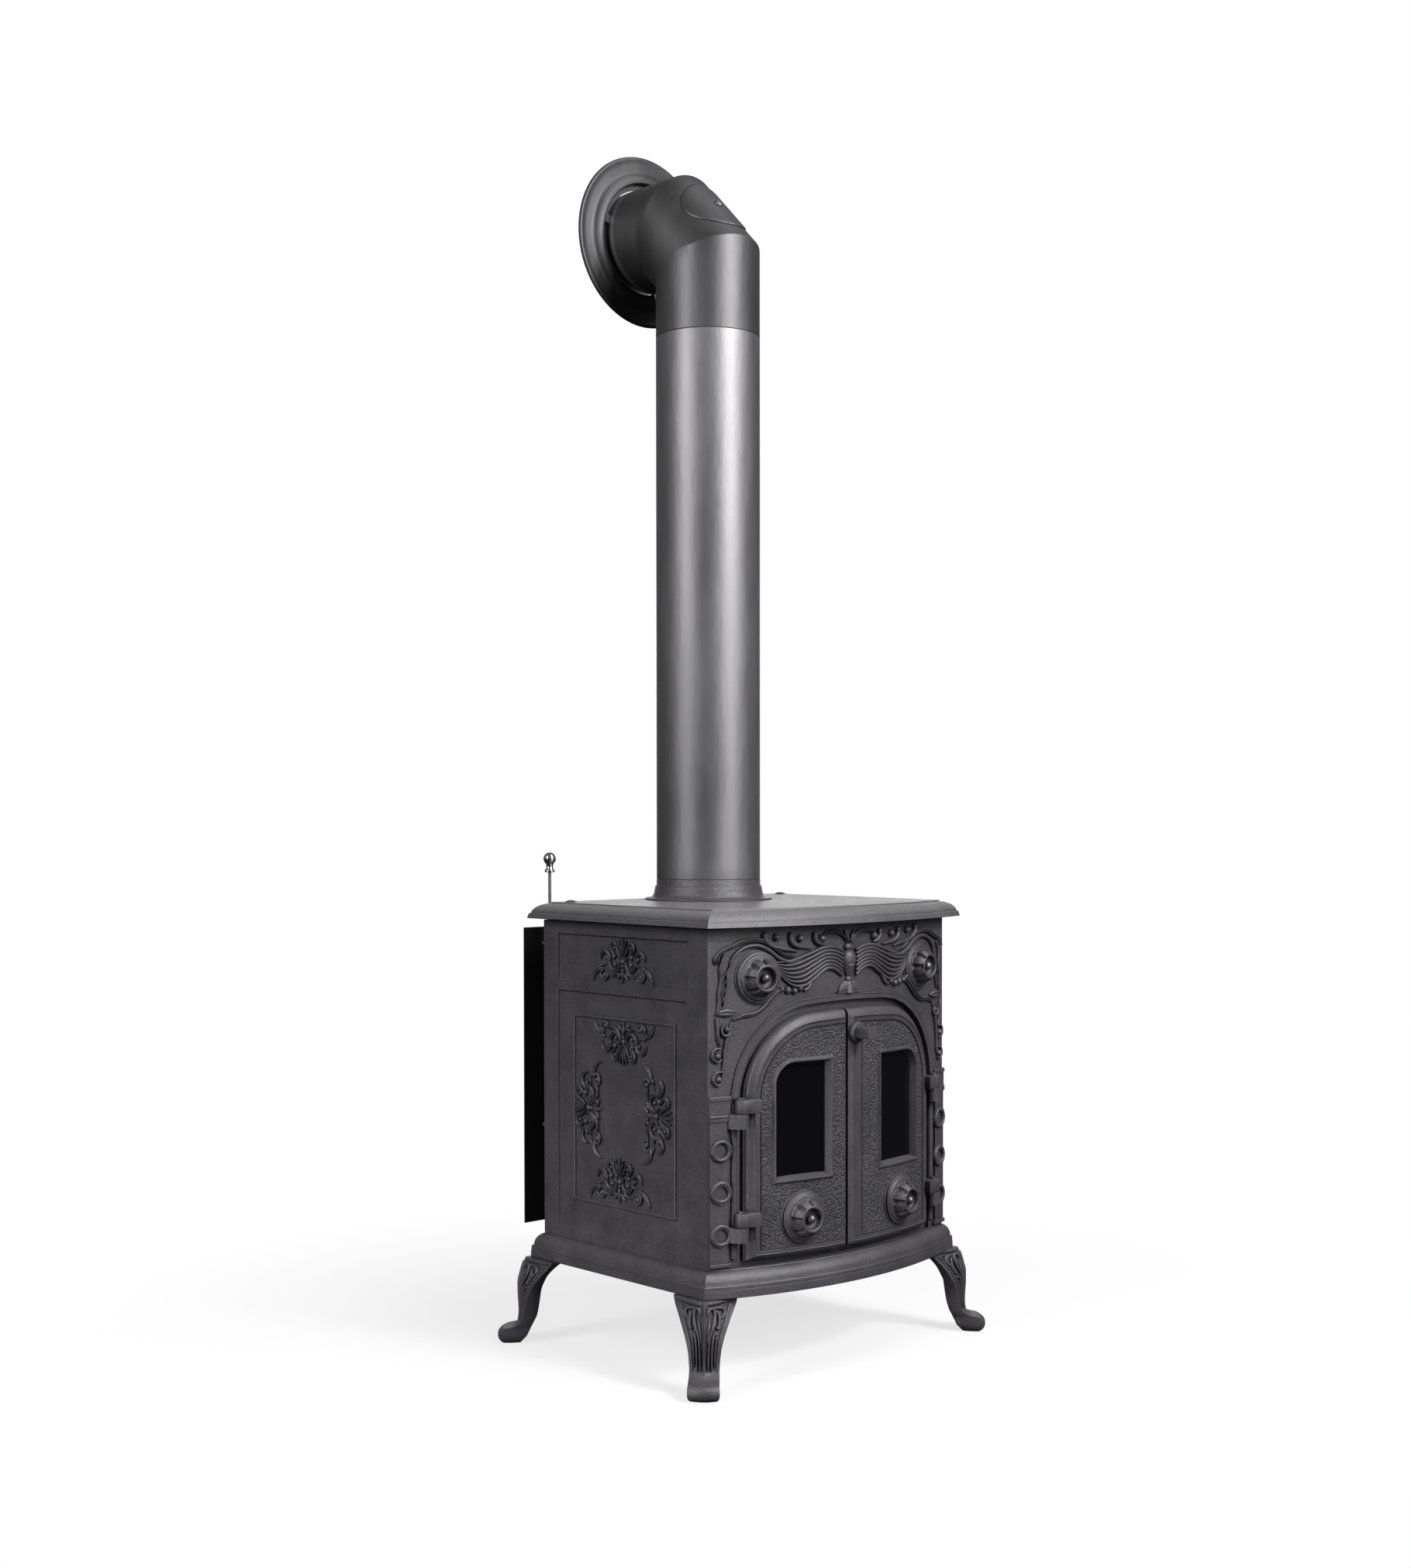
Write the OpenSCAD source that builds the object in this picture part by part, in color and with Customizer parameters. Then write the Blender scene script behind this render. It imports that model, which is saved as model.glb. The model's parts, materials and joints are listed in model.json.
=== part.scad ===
// Cast-iron parlour stove with bowed double doors, cabriole legs and a flue to the wall behind.
// X runs right as seen from the front, the front faces -Y and Z is up from the floor.

/* [Body] */
// Width of the firebox body
body_w = 460; // [440:1:490]
// Depth of the firebox body at its sides
body_d = 340; // [330:1:370]
// Height of the panels between base and top plate
panel_h = 442; // [438:1:480]
// Thickness of the side, back and front castings
panel_t = 8; // [7:0.5:10]
// How far the front frame bows forward of its corners
frame_bow = 31; // [24:1:36]
// Depth of the sunk fields on the side panels
field_depth = 3; // [2:0.5:4]

/* [Base] */
// Height of the base casting
base_h = 35; // [30:1:45]
// How far the base stands out at the sides and back
base_over = 14; // [12:1:20]
// How far the base bows forward of its corners
base_bow = 53; // [46:1:60]
// Thickness of the base's floor
floor_t = 6; // [5:1:10]
// Thickness of the base's skirt
skirt_t = 12; // [9:1:16]

/* [Top plate] */
// Height of the top plate
top_h = 25; // [22:1:34]
// How far the top plate stands out at the sides and back
top_over = 17; // [14:1:24]
// How far the top plate bows forward of its corners
top_bow = 40; // [34:1:48]

/* [Legs] */
// Height of the legs
leg_h = 120; // [100:1:160]
// How far the toes stand beyond the base corners, along the diagonal
leg_reach = 47; // [30:1:56]
// Width of a leg under the base
knee_w = 84; // [70:1:90]
// Width of a leg at the ankle
ankle_w = 39; // [32:1:46]
// Height of the toes
toe_h = 19; // [10:1:24]
// Diameter of the leg bolts
leg_bolt_d = 8; // [6:1:10]

/* [Doors] */
// Width over both doors
doors_w = 356; // [344:1:364]
// Height of the doors' bottom edge above the base
door_lift = 8; // [6:1:12]
// Height of the doors at the middle
door_h = 321; // [300:1:330]
// Radius of the shoulders of the doors' arch
shoulder_r = 110; // [90:1:125]
// Height from the arch's springing to its crown
arch_rise = 112; // [111.5:0.5:125]
// How far the doors stand proud of the frame at the middle
door_proud = 15.5; // [12:0.5:20]
// How far a full-width door face would bow forward of the body corners
door_bow = 46.5; // [44:0.5:52]
// Width of the bevel round the doors
bevel = 10; // [7:1:12]
// Thickness of the doors' face
door_t = 6; // [5:0.5:8]
// Place of the right door's meeting edge, left of the centre line
split_x = 16; // [12:1:20]
// Gap between the two doors
split_gap = 4; // [3:0.5:5]
// Width of the flat strip down the right door's meeting edge
strip_w = 28; // [22:1:32]
// Gap between the doors' back and the frame, filled by the seal
seal_gap = 4.3; // [3:0.1:6]

/* [Windows] */
// Distance of a window's inner edge from the centre line
window_x = 53; // [50:1:58]
// Width of a window
window_w = 80; // [70:1:84]
// Height of a window
window_h = 146; // [120:1:160]
// Height of a window's sill above the doors' bottom edge
window_lift = 106; // [102:1:116]
// Radius of a window's outer upper corner
window_r = 25; // [15:1:35]
// Thickness of the glass
glass_t = 4; // [3:0.5:5]

/* [Hinges] */
// Distance of the hinge pins outside the doors' edge
pin_out = 10; // [9:0.5:12]
// Distance of the hinge pins in front of the body corners
pin_front = 20; // [19:0.5:22]
// Diameter of the hinge pins
pin_d = 6; // [5:0.5:8]
// Radius of the hinge knuckles
knuckle_r = 9; // [8:0.5:9.5]
// Height of the door knuckles
knuckle_h = 18; // [14:1:22]
// Radial clearance of a pin or stud in its hole
running = 0.08; // [0.05:0.01:0.1]

/* [Spin dampers] */
// Radius of a damper disc
disc_r = 34; // [30:1:36]
// Radius of the scalloped knob on the disc
knob_r = 24; // [20:1:26]
// Number of scallops round the knob
scallops = 10; // [8:1:12]
// How far the knob stands out of its seat
knob_h = 21; // [18:1:24]
// Diameter of the stud that the damper turns on
stud_d = 8; // [6:1:10]
// Distance of the lower dampers from the centre line
lower_x = 94; // [90:1:98]
// Distance of the upper dampers from the side
upper_inset = 74; // [70:1:80]

/* [Latch] */
// Distance of the latch below the doors' crown
latch_drop = 32; // [28:1:38]
// Diameter of the latch boss
boss_d = 28; // [24:1:30]
// Side of the square spindle end that the loose handle fits
square_w = 14.5; // [10:0.5:16]
// Length of the square spindle end
square_l = 26; // [20:1:34]

/* [Flue] */
// Outer diameter of the flue pipe
pipe_d = 150; // [140:1:154]
// Wall of the flue pipe
pipe_t = 2; // [1.5:0.5:3]
// Distance of the flue's axis behind the body's centre
pipe_y = 77; // [70:1:80]
// Height of the collar above the top plate
collar_h = 30; // [24:1:40]
// Radius of the collar's flange
collar_r = 92; // [88:1:96]
// Length of the vertical pipe
pipe_l = 779; // [400:1:1200]
// Height of the elbow's outlet axis above the pipe's top
elbow_h = 166; // [150:1:200]
// Height between the elbow's outlet axis and its first mitre
elbow_cut = 64; // [48:1:72]
// Distance of the wall behind the body's centre
wall_y = 219; // [212:1:240]
// Radius of the rosette on the wall
rosette_r = 125; // [110:1:140]
// Length of pipe that stands out behind the rosette
outlet_l = 40; // [30:1:80]

/* [Heat shield] */
// Gap between the back panel and the shield
shield_gap = 45; // [42:1:50]
// Thickness of the shield
shield_t = 2; // [1.5:0.5:3]

/* [Air control] */
// Distance of the control rod in from the body's left side
rod_inset = 32; // [28:1:40]
// Distance of the control rod behind the back panel
rod_out = 27; // [22:1:30]
// Diameter of the control rod
rod_d = 4.5; // [4:0.5:6]
// Diameter of the ball on the control rod
ball_d = 18; // [14:1:22]
// Height of the ball above the top plate
ball_lift = 60; // [50:1:80]

/* [Firebox] */
// Height of the grate's top above the base
grate_lift = 60; // [56:1:66]
// Thickness of the firebricks
brick_t = 25; // [20:1:30]
// Height of the firebricks
brick_h = 215; // [180:1:225]
// Thickness of the grate and the baffle plate
plate_t = 9; // [7:1:12]

/* [Hidden] */
$fn = 64;
arc_fn = 720;
touch = 0.3;
eps = 0.01;

iron = "#4b484c";
black = "#242426";
steel = "#6a6a70";
nickel = "#b9bbc0";

half_w = body_w / 2;
front_y = -body_d / 2;
rear_y = body_d / 2;
base_z = leg_h;
floor_z = base_z + base_h;
rim_z = floor_z + panel_h;
upper_x = half_w - upper_inset;
top_z = rim_z + top_h;

function arc_r(half, rise) = (half * half + rise * rise) / (2 * rise);

frame_t = panel_t + 5;
frame_r = arc_r(half_w, frame_bow);
frame_cy = front_y - frame_bow + frame_r;
door_r = arc_r(half_w, door_bow);
door_cy = front_y - frame_bow - door_proud + door_r;

// Edge profiles of the base and the top plate: overhang less the full one, and height
base_steps = [[0, 0], [-3, 10], [-7, 23], [-12, 30]];
top_step = 2;
top_steps = [[0, top_step], [-4, 9], [-12, 15], [-19, 20], [-25, 23]];
base_front_over = 9;
top_front_over = 19;

corner_x = half_w + base_over;
corner_front = front_y - base_front_over;
corner_rear = rear_y + base_over;
bolt_inset = 31;
bolt_grip = 8;

// Doors, doorway and arch, all centred and bow-fronted
door_z = floor_z + door_lift;
door_top = door_z + door_h;
door_half = doors_w / 2;
spring_z = door_top - arch_rise;
band_depth = 6;
door_back_r = frame_r - band_depth + seal_gap;
landing_w = 12;
mould_out = 18;
mould_w = 7;
mould_h = 3;
window_z = door_z + window_lift;
latch_z = door_top - latch_drop;
latch_x = strip_w / 2 - split_x;
lower_z = door_z + 50;
upper_z = rim_z - 65;

hinge_x = door_half + pin_out;
hinge_y = front_y - pin_front;
upper_hinge_z = spring_z - 15;
lower_hinge_z = door_z + 46;
lug_h = 19;
pin_head_r = 5;
pin_head_h = 2.4;

seat_r = disc_r + 1.5;
seat_h = 1.4;
air_r = 7;
air_pitch = 20;
air_holes = 6;

pipe_r = pipe_d / 2;
bore_r = pipe_r - pipe_t;
sleeve_r = bore_r - 0.1;
sleeve_t = 2.9;
sleeve_l = 38;
pipe_z = top_z + collar_h;
pipe_top = pipe_z + pipe_l;
outlet_z = pipe_top + elbow_h;
mitre_z = outlet_z - elbow_cut;
mitre_y = pipe_y + elbow_cut;
elbow_end_y = wall_y - 19;
wall_sleeve = 30;
hatch_hole_r = 46;
hatch_r = 52;
hatch_t = 1.6;
bridge_z = 22;
bridge_x = sqrt(bore_r * bore_r - bridge_z * bridge_z) + 0.5;
hatch_mid = [0, (pipe_y + mitre_y) / 2, (mitre_z + outlet_z) / 2];

shield_y = rear_y + shield_gap;
rod_x = half_w - rod_inset;
rod_y = rear_y + rod_out;
guide_low = 145;
guide_high = 37;
guide_w = 18;
guide_h = 24;
guide_plate = 3;
shield_bolt_low = 45;
shield_bolt_high = 57;
shield_bolt_in = 80;
ball_z = top_z + ball_lift;
shutter_t = 3;
shutter_w = 34;
shutter_z = floor_z + shutter_w / 2 + touch;

grate_z = floor_z + grate_lift;
brick_top = grate_z + brick_h;
liner_x = half_w - panel_t;
liner_rear = rear_y - panel_t;
grate_half = liner_x - brick_t - 2;
brick_y0 = front_y + 70;
baffle_front = 85;
brick_y1 = rear_y - 42;

collar_t = 6;

// The frame's origin is the floor under the middle of the overall box, wall stub included.
front_most = front_y - frame_bow - door_proud - 1 - touch - collar_t - square_l;
frame_shift = (front_most + wall_y + outlet_l) / 2;

module placed() translate([0, -frame_shift, 0]) children();

// ---- shared shapes ----

module box(x0, x1, y0, y1, z0, z1) translate([x0, y0, z0]) cube([x1 - x0, y1 - y0, z1 - z0]);

module tube(r_out, r_in, h) difference() {
    cylinder(r = r_out, h = h);
    translate([0, 0, -1]) cylinder(r = r_in, h = h + 2);
}

// A plan outline: straight sides and back, a bowed front
module plan(over, full_over, front_over, bow) {
    r = arc_r(half_w + full_over, bow);
    peak = front_y - front_over - bow;
    inset = full_over - over;
    intersection() {
        translate([-half_w - over, peak - 1]) square([body_w + 2 * over, rear_y + over - peak + 1]);
        translate([0, peak + r]) circle(r = r - inset, $fn = arc_fn);
    }
}

// A bowed skin between two radii, cut to a width
module bow_plan(r_out, cy_out, r_in, cy_in, x0, x1) intersection() {
    difference() {
        translate([0, cy_out]) circle(r = r_out, $fn = arc_fn);
        translate([0, cy_in]) circle(r = r_in, $fn = arc_fn);
    }
    translate([x0, front_y - 100]) square([x1 - x0, 140]);
}

module bow_wall(r_out, cy_out, r_in, cy_in, x0, x1, z0, z1)
    translate([0, 0, z0]) linear_extrude(z1 - z0) bow_plan(r_out, cy_out, r_in, cy_in, x0, x1);

// The doors' arch, grown by g: a nearly flat crown between two round shoulders
function arch_points(g, bottom) =
    let (w = door_half + g, r = shoulder_r + g, top = door_top + g, sx = w - r,
        rise = top - spring_z, big = (sx * sx + rise * rise - r * r) / (2 * (rise - r)),
        lean = atan2(sx, spring_z - (top - big)))
    concat([[w, bottom]],
        [for (i = [0:8]) let (a = (90 - lean) * i / 8) [sx + r * cos(a), spring_z + r * sin(a)]],
        [for (i = [1:9]) let (a = lean - 2 * lean * i / 10) [big * sin(a), top - big + big * cos(a)]],
        [for (i = [8:-1:0]) let (a = (90 - lean) * i / 8)
            [-sx - r * cos(a), spring_z + r * sin(a)]],
        [[-w, bottom]]);

module front_prism(points) translate([0, front_y + 40, 0]) rotate([90, 0, 0])
    linear_extrude(160) polygon(points);

module arch(g, bottom) front_prism(arch_points(g, bottom));

// Places children on a bowed face: +Z outward, +X to the right, origin on the surface
module on_bow(x, z, r, cy, out = 0)
    translate([0, cy, z]) rotate([0, 0, asin(x / r)]) translate([0, -r - out, 0])
        rotate([90, 0, 0]) children();

module on_door(x, z, out = 0) on_bow(x, z, door_r, door_cy, out) children();

module on_frame(x, z, out = 0) on_bow(x, z, frame_r, frame_cy, out) children();

module both_sides() {
    children();
    mirror([1, 0, 0]) children();
}

module at_leg_bolts() for (x = [-1, 1], y = [corner_front + bolt_inset, corner_rear - bolt_inset])
    translate([x * (corner_x - bolt_inset), y, 0]) children();

// ---- base, legs and top ----

module base_plate() color(iron) placed() difference() {
    union() {
        for (i = [0:len(base_steps) - 1])
            translate([0, 0, base_z + base_steps[i][1]])
                linear_extrude(base_h - base_steps[i][1])
                    plan(base_over + base_steps[i][0], base_over, base_front_over, base_bow);
    }
    difference() {
        translate([0, 0, base_z - 1]) linear_extrude(base_h - floor_t + 1)
            plan(-skirt_t + 2, base_over, base_front_over, base_bow);
        at_leg_bolts() translate([-34, -34, base_z - 2]) cube([68, 68, base_h]);
    }
    at_leg_bolts() translate([0, 0, base_z - 2]) cylinder(d = leg_bolt_d + 0.6, h = base_h + 4);
}

// Rings of a leg from the floor up: height share, outer reach, inner reach, width and how far
// the outer ridge stands in front of the side corners, as a share of the half width
toe_u = leg_reach;
leg_rings = [
    [0, toe_u - 7, 15, ankle_w - 5, 0.25],
    [0.04, toe_u - 1, 11, ankle_w + 1, 0.25],
    [toe_h / leg_h / 2, toe_u, 6, ankle_w + 3, 0.25],
    [toe_h / leg_h, toe_u - 2, 0, ankle_w + 2, 0.22],
    [(toe_h + 4) / leg_h, 29, -2, ankle_w, 0.15],
    [(toe_h + 10) / leg_h, 17, -4, ankle_w, 0.2],
    [0.3, 16, -8, ankle_w, 0.3],
    [0.42, 16.5, -10, ankle_w + 2, 0.45],
    [0.55, 17.5, -12, ankle_w + 6, 0.6],
    [0.67, 17.5, -17, ankle_w + 14, 0.75],
    [0.8, 14.5, -26, (ankle_w + knee_w) / 2 + 3, 0.9],
    [0.9, 11, -36, knee_w - 8, 1],
    [1, 7, -50, knee_w, 1]];

function leg_ring(r) = let (z = r[0] * leg_h, h = r[3] / 2, b = min(h * 0.7, 30))
    [[0, r[1], z], [h, r[1] - r[4] * h, z], [b, r[2], z], [-b, r[2], z], [-h, r[1] - r[4] * h, z]];

module leg_body() {
    n = len(leg_rings);
    points = [for (r = leg_rings) each leg_ring(r)];
    sides = [for (i = [0:n - 2], j = [0:4]) let (k = (j + 1) % 5)
        each [[i * 5 + j, (i + 1) * 5 + j, (i + 1) * 5 + k], [i * 5 + j, (i + 1) * 5 + k, i * 5 + k]]];
    caps = [[0, 1, 2, 3, 4], [for (j = [4:-1:0]) (n - 1) * 5 + j]];
    polyhedron(points, concat(sides, caps), convexity = 4);
}

// One leg under the base corner at (sx, sy), pointing outward along the diagonal
module leg(sx, sy) color(iron) placed() {
    cy = sy < 0 ? corner_front : corner_rear;
    by = cy - sy * bolt_inset;
    difference() {
        translate([sx * corner_x, cy, 0]) rotate([0, 0, atan2(sy, sx) - 90]) leg_body();
        translate([sx * (corner_x - bolt_inset), by, leg_h - bolt_grip - 2])
            cylinder(d = leg_bolt_d, h = bolt_grip + 10);
    }
}

module leg_front_left() leg(-1, -1);
module leg_front_right() leg(1, -1);
module leg_rear_left() leg(-1, 1);
module leg_rear_right() leg(1, 1);

module leg_bolts() color(steel) placed() at_leg_bolts() {
    translate([0, 0, base_z - bolt_grip]) cylinder(d = leg_bolt_d, h = base_h + bolt_grip + eps);
    translate([0, 0, floor_z]) cylinder(r = 7, h = 5.5, $fn = 6);
}

tie_in = 23;
tie_rear = 32;
dome_d = 18;

module at_tie_rods(rows = [front_y + 50, rear_y - tie_rear]) for (x = [-1, 1], y = rows)
    translate([x * (half_w - tie_in), y, 0]) children();

module top_plate() color(iron) placed() difference() {
    union() {
        translate([0, 0, rim_z]) linear_extrude(top_step + eps)
            plan(3, top_over, top_front_over, top_bow);
        for (s = top_steps)
            translate([0, 0, rim_z + s[1]]) linear_extrude(top_h - s[1])
                plan(top_over + s[0], top_over, top_front_over, top_bow);
    }
    difference() {
        translate([0, 0, rim_z - 1]) linear_extrude(top_h - 9)
            plan(-14, top_over, top_front_over, top_bow);
        translate([0, pipe_y, rim_z - 2]) cylinder(r = bore_r + 14, h = top_h);
        at_tie_rods() translate([0, 0, rim_z - 2]) cylinder(d = dome_d + 5, h = top_h);
    }
    translate([0, pipe_y, rim_z - 2]) cylinder(r = bore_r - 3, h = top_h + 4);
    at_tie_rods() translate([0, 0, rim_z - 2]) cylinder(d = leg_bolt_d, h = top_h - 8);
    at_tie_rods([rear_y - tie_rear]) translate([0, 0, rim_z - 2])
        cylinder(d = leg_bolt_d, h = top_h + 4);
}

// Rods that clamp the body between base and top; the rear pair ends in low domes on the top
module tie_rods() color(iron) placed() {
    at_tie_rods() translate([0, 0, floor_z]) {
        cylinder(d = leg_bolt_d, h = panel_h + top_h - 12);
        cylinder(r = 7.5, h = 6, $fn = 6);
    }
    at_tie_rods([rear_y - tie_rear]) {
        translate([0, 0, rim_z]) cylinder(d = leg_bolt_d, h = top_h + 1);
        translate([0, 0, top_z]) intersection() {
            translate([0, 0, 3 - 15]) sphere(r = 15, $fn = 48);
            cylinder(d = dome_d, h = 4);
        }
    }
}

// ---- body panels ----

side_y0 = front_y + 27;
side_y1 = rear_y - 15;
upper_field = [front_y + 38, rear_y - 31, rim_z - 82, rim_z - 17];
lower_field = [front_y + 42, rear_y - 31, floor_z + 15, rim_z - 96];
bead_field = [front_y + 63, rear_y - 63, floor_z + 55, rim_z - 127];
bead_w = 5;
bead_h = 2.5;

module side_panel() {
    difference() {
        box(-half_w, -half_w + panel_t, side_y0, side_y1, floor_z, rim_z);
        for (f = [upper_field, lower_field])
            box(-half_w - 1, -half_w + field_depth, f[0], f[1], f[2], f[3]);
    }
    difference() {
        box(-half_w + field_depth - bead_h, -half_w + field_depth + eps,
            bead_field[0], bead_field[1], bead_field[2], bead_field[3]);
        box(-half_w - 1, -half_w + field_depth + 1, bead_field[0] + bead_w,
            bead_field[1] - bead_w, bead_field[2] + bead_w, bead_field[3] - bead_w);
    }
    box(-half_w + panel_t - eps, -grate_half + 10, brick_y0, brick_y1, grate_z - plate_t - 9,
        grate_z - plate_t);
}

module left_side_panel() color(iron) placed() side_panel();
module right_side_panel() color(iron) placed() mirror([1, 0, 0]) side_panel();

module at_shield_bolts() for (x = [-1, 1],
    z = [floor_z + shield_bolt_low, rim_z - shield_bolt_high])
    translate([x * (half_w - shield_bolt_in), rear_y, z]) rotate([-90, 0, 0]) children();

module at_rod_guides() for (z = [floor_z + guide_low, rim_z - guide_high])
    translate([-rod_x, rear_y, z]) children();

module back_panel() color(iron) placed() difference() {
    union() {
        box(-half_w, half_w, rear_y - panel_t, rear_y, floor_z, rim_z);
        both_sides() box(-half_w, -half_w + panel_t, side_y1 + eps, rear_y - 1, floor_z, rim_z);
    }
    translate([-rod_x, rear_y + 1, shutter_z]) rotate([90, 0, 0]) cylinder(r = 11, h = panel_t + 2);
    at_shield_bolts() translate([0, 0, -panel_t - 1])
        cylinder(d = 5, h = panel_t + 2);
}

ring_low = 45;
ring_pitch = 55.5;
ring_z = [for (i = [0:2]) floor_z + ring_low + i * ring_pitch];
ring_x = half_w - 17;
pilaster_in = half_w - 26;
capital_z = spring_z - 24;
capital_w = 31;

module hinge_lug(z) difference() {
    union() {
        translate([-hinge_x, hinge_y, z]) cylinder(r = knuckle_r, h = lug_h);
        translate([0, 0, z]) linear_extrude(lug_h)
            polygon([[-pilaster_in, front_y - 1], [-pilaster_in, front_y - 13],
                [-hinge_x - 8, hinge_y - 7], [-hinge_x, hinge_y - knuckle_r],
                [-hinge_x, hinge_y + knuckle_r], [-hinge_x - 5, front_y - 8],
                [-hinge_x - 8, front_y - 1]]);
    }
    translate([-hinge_x, hinge_y, z - 1]) cylinder(r = pin_d / 2 + running, h = lug_h + 2);
}

module frame_side() {
    // Side return, pilaster with its capital, ring rosettes and hinge lugs
    box(-half_w, -half_w + panel_t, front_y + 2, side_y0, floor_z, rim_z);
    bow_wall(frame_r + mould_h, frame_cy, frame_r - 1, frame_cy, -half_w + 1, -pilaster_in,
        floor_z + 5, capital_z);
    for (s = [[0, 2], [27, 4]])
        bow_wall(frame_r + mould_h + 2, frame_cy, frame_r - 1, frame_cy, -half_w, -half_w + capital_w,
            capital_z + s[0], capital_z + s[0] + 4);
    bow_wall(frame_r + mould_h, frame_cy, frame_r - 1, frame_cy, -half_w, -half_w + capital_w,
        capital_z - 1, capital_z + 28);
    for (z = ring_z) on_frame(-ring_x, z, mould_h - 0.5) tube(15, 9, 3.5);
    hinge_lug(upper_hinge_z - lug_h - touch);
    hinge_lug(lower_hinge_z - lug_h - touch);
}

module front_frame() color(iron) placed() difference() {
    union() {
        difference() {
            bow_wall(frame_r, frame_cy, frame_r - frame_t, frame_cy, -half_w, half_w,
                floor_z, rim_z);
            intersection() {
                bow_wall(frame_r + 5, frame_cy, frame_r - band_depth, frame_cy, -half_w, half_w,
                    floor_z, rim_z);
                arch(mould_out - mould_w, floor_z - 1);
            }
        }
        intersection() {
            bow_wall(frame_r + mould_h, frame_cy, frame_r - 1, frame_cy, -half_w, half_w,
                upper_hinge_z + knuckle_h + touch, rim_z - 2);
            difference() {
                arch(mould_out, floor_z);
                arch(mould_out - mould_w, floor_z - 1);
            }
        }
        both_sides() frame_side();
        both_sides() on_frame(-upper_x, upper_z, -2) cylinder(r = seat_r, h = 2 + seat_h);
        header_vase();
    }
    arch(-landing_w, door_z + landing_w);
    both_sides() on_frame(-upper_x, upper_z, -30) {
        translate([0, 0, 20]) air_pattern();
        cylinder(d = stud_d, h = 40);
    }
}

// The small vase at the middle of the header, standing half out of the frame
module header_vase() translate([0, front_y - frame_bow + 1, 0]) {
    translate([0, 0, upper_z - 28]) cylinder(r1 = 9, r2 = 6, h = 16);
    translate([0, 0, upper_z - 12]) cylinder(r = 5, h = 8);
    translate([0, 0, upper_z - 5]) cylinder(r1 = 6, r2 = 10, h = 14);
    translate([0, 0, upper_z + 9]) cylinder(r1 = 10, r2 = 5, h = 20);
    translate([0, 0, upper_z + 29]) cylinder(r1 = 5, r2 = 8, h = 10);
}

module air_pattern() for (i = [0:air_holes - 1]) rotate([0, 0, 360 * (i + 0.5) / air_holes])
    translate([air_pitch, 0, -10]) cylinder(r = air_r, h = 60, $fn = 32);

// ---- doors ----

module door_shape(x0, x1) difference() {
    union() {
        // Stepped bevel: the back is the full outline, the face is smaller by the bevel
        for (s = [[0, 5.5], [0.5, 3], [1, 0]]) intersection() {
            bow_wall(door_r - s[1], door_cy, door_back_r, frame_cy, x0, x1, floor_z, rim_z);
            arch(-bevel * s[0], door_z);
        }
    }
    intersection() {
        bow_wall(door_r - door_t, door_cy, door_back_r - 2, frame_cy, x0 + bevel, x1 - bevel,
            floor_z, rim_z);
        arch(-bevel - 4, door_z + bevel);
    }
}

function window_points(g) = let (x0 = window_x - g, x1 = window_x + window_w + g,
        z0 = window_z - g, z1 = window_z + window_h + g, r = window_r + g)
    concat([[x0, z0], [x1, z0]],
        [for (i = [0:6]) [x1 - r + r * cos(15 * i), z1 - r + r * sin(15 * i)]], [[x0, z1]]);

module knuckle(z) difference() {
    union() {
        translate([-hinge_x, hinge_y, z]) cylinder(r = knuckle_r, h = knuckle_h);
        box(-hinge_x, -door_half + bevel, hinge_y - knuckle_r, hinge_y + 7, z, z + knuckle_h);
    }
    translate([-hinge_x, hinge_y, z - 1]) cylinder(r = pin_d / 2 + running, h = knuckle_h + 2);
}

// A left-hand door with its window, knuckles and damper seat; inner is its meeting edge
module door(inner) difference() {
    union() {
        door_shape(-door_half, -inner);
        intersection() {
            bow_wall(door_r + 2, door_cy, door_r - door_t, door_cy, -door_half, -inner, floor_z, rim_z);
            mirror([1, 0, 0]) front_prism(window_points(6));
        }
        on_door(-lower_x, lower_z, -door_t) cylinder(r = seat_r, h = door_t + seat_h);
        knuckle(upper_hinge_z);
        knuckle(lower_hinge_z);
    }
    mirror([1, 0, 0]) front_prism(window_points(0));
    on_door(-lower_x, lower_z, -30) {
        translate([0, 0, 20]) air_pattern();
        cylinder(d = stud_d, h = 40);
    }
}

module left_door() color(iron) placed() door(split_x + split_gap);

module right_door() color(iron) placed() difference() {
    union() {
        mirror([1, 0, 0]) door(-split_x);
        intersection() {
            bow_wall(door_r + 0.6, door_cy, door_r - 1, door_cy, -split_x, -split_x + strip_w,
                door_z + 4, latch_z - 6);
            arch(-bevel, door_z);
        }
        translate([latch_x, door_cy - door_r + 18, latch_z]) rotate([90, 0, 0])
            cylinder(r = strip_w / 2 - 0.6, h = 19);
    }
    translate([latch_x, door_cy - door_r + 30, latch_z]) rotate([90, 0, 0])
        cylinder(d = stud_d + 2 * running, h = 40);
}

glass_back = door_t + 2;

module glass_pane() translate([0, 0, -glass_back - glass_t])
    translate([-window_w / 2 - 5, -window_h / 2 - 5, 0]) cube([window_w + 10, window_h + 10, glass_t]);

glass_x = window_x + window_w / 2;
glass_z = window_z + window_h / 2;

module left_glass() color([0.12, 0.12, 0.13, 0.6]) placed() on_door(-glass_x, glass_z) glass_pane();
module right_glass() color([0.12, 0.12, 0.13, 0.6]) placed() on_door(glass_x, glass_z) glass_pane();

// Clips: a foot against the door's back, beside the pane, and a finger behind the pane
clip_w = 12;
clip_t = 2;

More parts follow.
